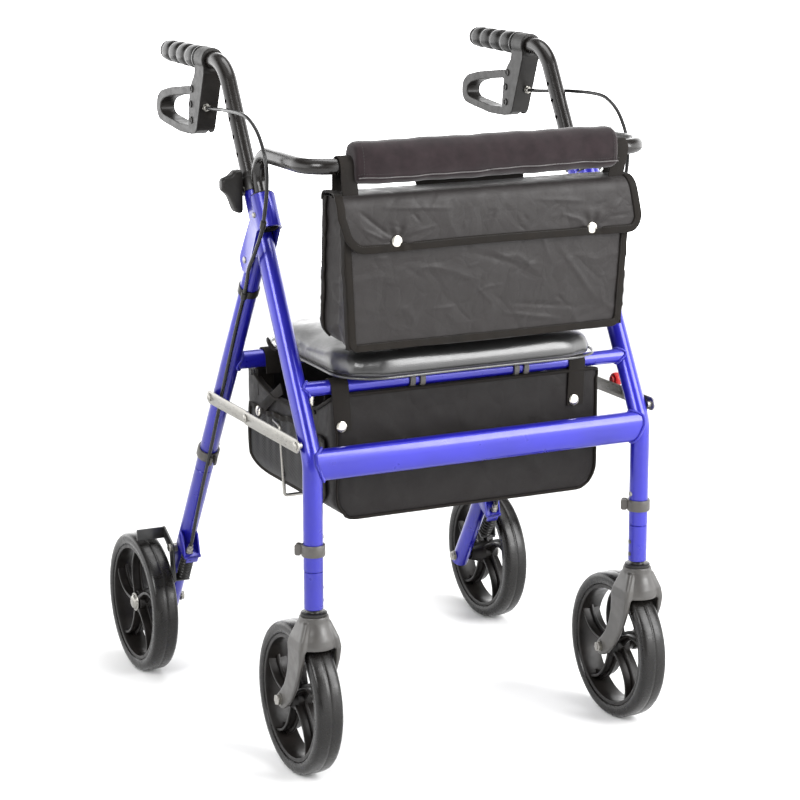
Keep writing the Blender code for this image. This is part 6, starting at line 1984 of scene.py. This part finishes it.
flap = sheet("saddle_bag_flap", flap_sheet_point, 230, 86)
if flap.data.polygons[len(flap.data.polygons) // 2].normal.y > 0:
    flap.data.flip_normals()
modify(flap, "SOLIDIFY", thickness=0.0012, offset=-1.0)
finish(flap, NYLON, "bag", "nylon", degrees=50)

edge_uv = [(0.0, v / 60) for v in range(4, 51)]
edge_uv += [(CORNER_U * (1 - math.cos(math.radians(a))), 1 - CORNER_V + CORNER_V
    * math.sin(math.radians(a))) for a in range(6, 90, 7)]
edge_uv = edge_uv + [(0.045 + 0.91 * step / 90, 1.0) for step in range(91)] + [(1 - u, v) for u,
    v in reversed(edge_uv)]
edge_points = [flap_point(u, v) for u, v in edge_uv]
edge_normals = [n if n.y < 0 or n.z > 0 else -n for n in (flap_normal(u, v) for u, v in edge_uv)]
tape_path = []
for index, (point, normal) in enumerate(zip(edge_points, edge_normals)):
    run = edge_points[min(index + 1, len(edge_points) - 1)] - edge_points[max(index - 1, 0)]
    inward = run.cross(normal).normalized()
    if inward.dot(flap_point(0.5, 0.7) - point) < 0:
        inward = -inward
    tape_path.append(point + inward * 0.0038 + normal * 0.0005)
ribbon("flap_binding", tape_path, edge_normals, 0.0108, 0.0032, "bag")
stitch_line = [p + n * 0.0018 + Vector((0, 0, 0.004)) for p, n in zip(tape_path, edge_normals)
    if p.z < 0.701]
stitches("flap_stitches", [stitch_line], "bag", "nylon", 0.0034, 0.0008)

SNAP_CAP = mm((0, 0), (0, 7), (0.8, 7.3), (1.7, 7), (2.4, 5.8), (2.8, 3.8), (2.9, 1.8), (2.9, 0))


def snap_cap(place, normal):
    return turned("snap", SNAP_CAP, place, normal, 36)


caps = []
for snap_x, snap_z in SNAPS:
    u = (snap_x + 0.2) / (0.216 + 0.2)
    v = min((abs(flap_point(u, step / 200).z - snap_z), step / 200) for step in range(120, 201))[1]
    caps.append(snap_cap(flap_point(u, v) + Vector((0, -0.0006, 0)), (0, -1, 0.06)))
finish(gather("bag_snaps", caps), BRASS, "bag", "zinc")
print("flap", len(flap.data.polygons), "faces")

# %% Bag straps and carry handle
def bar_strap(name, tops, width, body, bar_y, bar_z, radius, front_low, rear_low, thick=0.0018,
    low_x=None):
    """A webbing strap over a bar, with its two tails hanging down to given heights."""
    x = tops
    low_x = x if low_x is None else low_x
    path = [Vector((low_x, bar_y - radius - 0.0016, front_low)), Vector((low_x, bar_y - radius - 0.001,
        front_low + 0.006))]
    path += [Vector((x, bar_y + radius * math.cos(a), bar_z + radius * math.sin(a))) for a in [math.pi
        - math.pi * i / 20 for i in range(21)]]
    path += [Vector((x, bar_y + radius + 0.0006, rear_low + 0.006)), Vector((x, bar_y + radius + 0.0012,
        rear_low))]
    normals = []
    for point in path:
        out = Vector((0, point.y - bar_y, max(0.0, point.z - bar_z)))
        normals.append(out.normalized())
    return ribbon(name, path, normals, width, thick, body, WEBBING)


for name, x, low_x in (("right_bag_strap", 0.1945, 0.186), ("left_bag_strap", -0.193, -0.1915)):
    bar_strap(name, x, 0.022, "bag", STEM_Y, 0.7985, 0.0128, 0.758, 0.758, low_x=low_x)
handle_path = smooth_path(mm((-80, -256, 762), (-62, -256, 766), (-35, -256, 771.2), (0, -256, 772.8),
    (32, -256, 771.2), (55, -256, 766.2), (72, -256, 762)), 0.004)
ribbon("bag_carry_handle", handle_path, [Vector((0, -0.95, 0.3))] * len(handle_path), 0.02, 0.0024, "bag",
    WEBBING)
print("straps", len([piece for piece in bpy.data.objects if "strap" in piece.name]))

# %% [markdown]
# ## The pouch under the seat
#
# The pouch hangs from both seat bars on webbing loops. It is a shell with a real inside, so it is one
# loft that climbs the outside, turns over the rim and goes down again inside. When the walker folds,
# its back comes towards its front; here the shell and its trim are baked in place, attached to neither
# half of the frame.

# %% Pouch shell
POUCH_HALF = 0.195
POUCH_FRONT_Y = -0.248
POUCH_REAR_Y = 0.043
POUCH_LOW_Z = 0.3345
WALL_SAG = mm((-248, 499), (-235, 490), (-200, 473), (-130, 459), (-60, 457), (-10, 468), (25, 484),
    (43, 488))


def read_off(y, table):
    """Height at y, from a table of (y, height) points."""
    return float(np.interp(y, *zip(*table)))


FLOOR_CURL = 0.036


def curled(low, radius=FLOOR_CURL):
    """How far a round edge draws in. low runs from 1 at the floor to 0 at the top of the curve."""
    return radius * (1 - math.sqrt(max(0.0, 1 - low * low)))


def pouch_ring(level, inset):
    """A ring from floor (level 0) to rim (level 1). Corners of the floor are round seen from the front."""
    middle_y = (POUCH_REAR_Y + POUCH_FRONT_Y) / 2
    points = []
    for x, y in soft_ring(POUCH_HALF - inset, (POUCH_REAR_Y - POUCH_FRONT_Y) / 2 - inset, 0.01, 0.0,
        0.0046):
        full_y = middle_y + y
        rise = level * (read_off(full_y, WALL_SAG) - POUCH_LOW_Z)
        low = max(0.0, 1 - rise / FLOOR_CURL)
        curl = curled(low)
        front_curl = curled(low * low, 0.004)
        belly = math.sin(math.pi * min(1.0, level))
        crease = crumple((x, full_y, rise), 0.048, 0.0011, 4.0) * math.sin(math.pi * min(1.0, 0.15 + level
            * 0.8))
        if abs(full_y - POUCH_FRONT_Y) < 0.004 + inset:
            y -= crease + 0.0016 * belly - front_curl
        elif abs(x) < POUCH_HALF - 0.012:
            y += crease
        x -= math.copysign(curl * min(1.0, abs(x) / 0.15) - crease * (abs(x) > POUCH_HALF - 0.012), x)
        points.append(Vector((x, middle_y + y, POUCH_LOW_Z + rise + inset)))
    return points


levels = [0.0, 0.004, 0.013, 0.032, 0.06, 0.092, 0.13, 0.18] + [0.23 + 0.77 * i / 22 for i in range(23)]
outer_rings = [pouch_ring(level, 0.0) for level in levels]
inner_rings = [pouch_ring(level, 0.0022) for level in reversed(levels) if level > 0.02]
for ring in inner_rings:
    for point in ring:
        point.z -= 0.0022
count = min(len(ring) for ring in outer_rings + inner_rings)


def recount(ring):
    return [ring[int(i * len(ring) / count)] for i in range(count)]


pouch = skin("pouch_shell", [recount(ring) for ring in outer_rings + inner_rings])
POUCH_BEND = ("frame", "rear_frame", (0.0, -0.23, 0.42), (0.0, -0.015, 0.42))
# The pouch's darker nylon is painted shade, not a different cloth.
finish(pouch, SHADED_POUCH_NYLON, POUCH_BEND, "nylon", ["under_seat_pouch"], 60)
print("pouch shell", len(pouch.data.polygons), "faces")

# %% Pouch trim
def blended(piece, material, slot="nylon"):
    """Finish a piece of the pouch, baked in place like the shell and attached to neither half of the
    frame.
    """
    finish(piece, material, POUCH_BEND, slot, degrees=50)


rim_path = [p + Vector((0, 0, 0.0006)) for p in recount(pouch_ring(1.0, 0.0012))]
rim = sweep("pouch_rim_binding", rim_path, soft_rectangle(0.0046, 0.009, 0.0016, 3), across=(0, 0, 1),
    caps=False, loop=True)
blended(rim, BINDING)
edges = [pouch_ring(level, -0.0006) for level in levels]
left, right = [[min(ring, key=lambda p: (p.x * -sign) + (p.y - POUCH_FRONT_Y)) for ring in edges[2:]]
    for _, sign in SIDES]
foot = [p for p in edges[2] if p.y < POUCH_FRONT_Y + 0.005 and abs(p.x) < abs(left[0].x) - 0.004]
foot = sorted(foot, key=lambda p: p.x)
piping_path = [p + Vector((0, -0.0008, 0)) for p in left[::-1] + foot + right]
blended(sweep("pouch_piping", piping_path, circle(0.0019, 10)), BINDING)

STRAPS = ((-0.1865, -0.1828), (0.16, 0.157))
caps = []
for (side, sign), (top_x, low_x) in zip(SIDES, STRAPS):
    bar_strap(side + "_front_pouch_strap", top_x, 0.0245, "frame", FRONT_BAR_Y, FRONT_BAR_Z, 0.0107,
        0.4535, 0.49, low_x=low_x)
    bar_strap(side + "_rear_pouch_strap", sign * 0.1835, 0.023, "rear_frame", REAR_BAR.x, REAR_BAR.y,
        0.0138, 0.486, 0.45)
    caps.append(snap_cap(Vector((low_x - 0.003, -0.2523, 0.4608)), (0, -1, 0.05)))
finish(gather("pouch_snaps", caps), BRASS, "frame", "zinc")

# %% [markdown]
# ### Mesh pockets, wire and cords
#
# Each end of the pouch has a pocket of open mesh with a bound, gathered rim. A bent wire hangs there and
# passes under the floor to keep the pouch in shape. The mesh is too fine to model thread by thread, so
# its diagonal net is in the finish. Gathers are modelled: the pocket's rim is wavy and its foot is flat.

# %% Side pockets
net = Finish("black pocket mesh", (0.014, 0.013, 0.013), 0.6)
net.set(Sheen_Weight=0.05, Specular_IOR_Level=0.2)
holes = net.math("MULTIPLY", net.bands(150.0, "DIAGONAL", 0.3), net.bands(150.0, "Z", 0.3))
net.tint(holes, (0.003, 0.003, 0.003), (0.022, 0.02, 0.019), 0.25, 0.75)
net.bump(holes, 0.0005, 0.8)
NET = net.material
POCKET_TOP = mm((-225, 436), (-119, 441), (-77, 437), (-31, 433), (25, 435))
POCKET_FOOT = mm((-225, 356), (-190, 348), (-78, 346), (-13.6, 344), (25, 352))


def pocket_point(sign, u, v):
    """A point of the pocket: u from front to rear, v from its foot to its rim."""
    y = -0.225 + 0.25 * u
    ends = max(0.0, 1 - min(u, 1 - u) / 0.1)
    foot_z = read_off(y, POCKET_FOOT) + 0.012 * ends ** 2
    top_z = read_off(y, POCKET_TOP) + 0.0012 * math.sin(u * 31.0)
    wave = 0.0009 * math.sin(u * 62.0 + 1.2 * math.sin(u * 9.0)) * v ** 1.5
    z = foot_z + (top_z - foot_z) * v
    curl = curled(max(0.0, 1 - (z - POUCH_LOW_Z) / FLOOR_CURL))
    out = 0.0016 + 0.0016 * math.sin(math.pi * min(1.0, v * 0.9 + 0.05)) + wave
    return Vector((sign * (POUCH_HALF - curl + out), y, z))


def pocket(name, sign):
    """A gathered pocket on one end of the pouch."""
    made = sheet(name, lambda u, v: pocket_point(sign, u, v), 60, 30)
    if made.data.polygons[0].normal.x * sign < 0:
        made.data.flip_normals()
    modify(made, "SOLIDIFY", thickness=0.001, offset=-1.0)
    blended(made, NET)


for side, sign in SIDES:
    pocket(side + "_mesh_pocket", sign)
    around = [pocket_point(sign, u / 60, 1.0) for u in range(61)]
    around += [pocket_point(sign, 1.0, 1 - v / 12) for v in range(1, 13)]
    around += [pocket_point(sign, 1 - u / 60, 0.0) for u in range(1, 61)]
    around += [pocket_point(sign, 0.0, v / 12) for v in range(1, 12)]
    tape = sweep(side + "_pocket_binding", [p + Vector((sign * 0.0004, 0, 0)) for p in around],
        soft_rectangle(0.0024, 0.007, 0.0009, 3), across=(1, 0, 0), caps=False, loop=True)
    blended(tape, BINDING)
    tab_path = smooth_path([(sign * 0.1972, -0.004, 0.426), (sign * 0.1976, -0.025, 0.44), (sign * 0.1965,
        -0.056, 0.46), (sign * 0.1955, -0.084, 0.477)], 0.004)
    tab = ribbon(side + "_pocket_tab", tab_path, [Vector((sign, 0, 0))] * len(tab_path), 0.015, 0.0016,
        None, WEBBING)
    blended(tab, WEBBING)
    stud = snap_cap(Vector((sign * 0.1975, -0.007, 0.43)), (sign, 0, 0.05))
    stud.name = side + "_pocket_stud"
    blended(stud, BRASS, "zinc")

# %% Wire bail and cords
bail_half = [Vector((0.1979, -0.059, 0.429)), Vector((0.1979, -0.081, 0.425)),
    Vector((0.1979, -0.094, 0.3324))]
bail = tube("pouch_wire", rounded_path(both_halves(bail_half), [0.008, 0.004, 0.004, 0.008], 8), 0.0023,
    20)
finish(bail, ZINC, "frame", "zinc", ["pouch_bail"])


def cord_end(name, place, body):
    """A crimped metal end on a short black loop that comes out of the rim."""
    place = Vector(place)
    crimps = [(0.0, 0.0), (0.0, 0.0058)]
    for ridge in range(4):
        crimps += [(0.001 + ridge * 0.003, 0.006 - ridge * 0.0006), (0.0024 + ridge * 0.003, 0.006 - ridge
            * 0.0006), (0.0029 + ridge * 0.003, 0.0051 - ridge * 0.0006)]
    crimps += [(0.013, 0.004), (0.013, 0.0)]
    end = turned(name, crimps, place, (0, 0, -1), 24)
    for vertex in end.data.vertices:
        vertex.co.x = place.x + (vertex.co.x - place.x) * 0.45
    finish(end, BRASS, body, "zinc")
    for index, lean in enumerate((-0.01, 0.01)):
        tail_path = [place + Vector(step) for step in ((0, 0, -0.012), (0, lean * 0.4, -0.017),
            (0.001, lean * 0.7, -0.024))]
        tail = tube(f"{name}_cord_{index}", smooth_path(tail_path, 0.003), 0.0019, 12)
        finish(tail, CABLE_SHEATH, body, "nylon")


cord_end("rear_cord_end", (-0.1965, 0.0136, 0.499), "rear_frame")
cord_end("front_cord_end", (-0.1965, -0.1844, 0.489), "frame")
print("pockets and wire done")
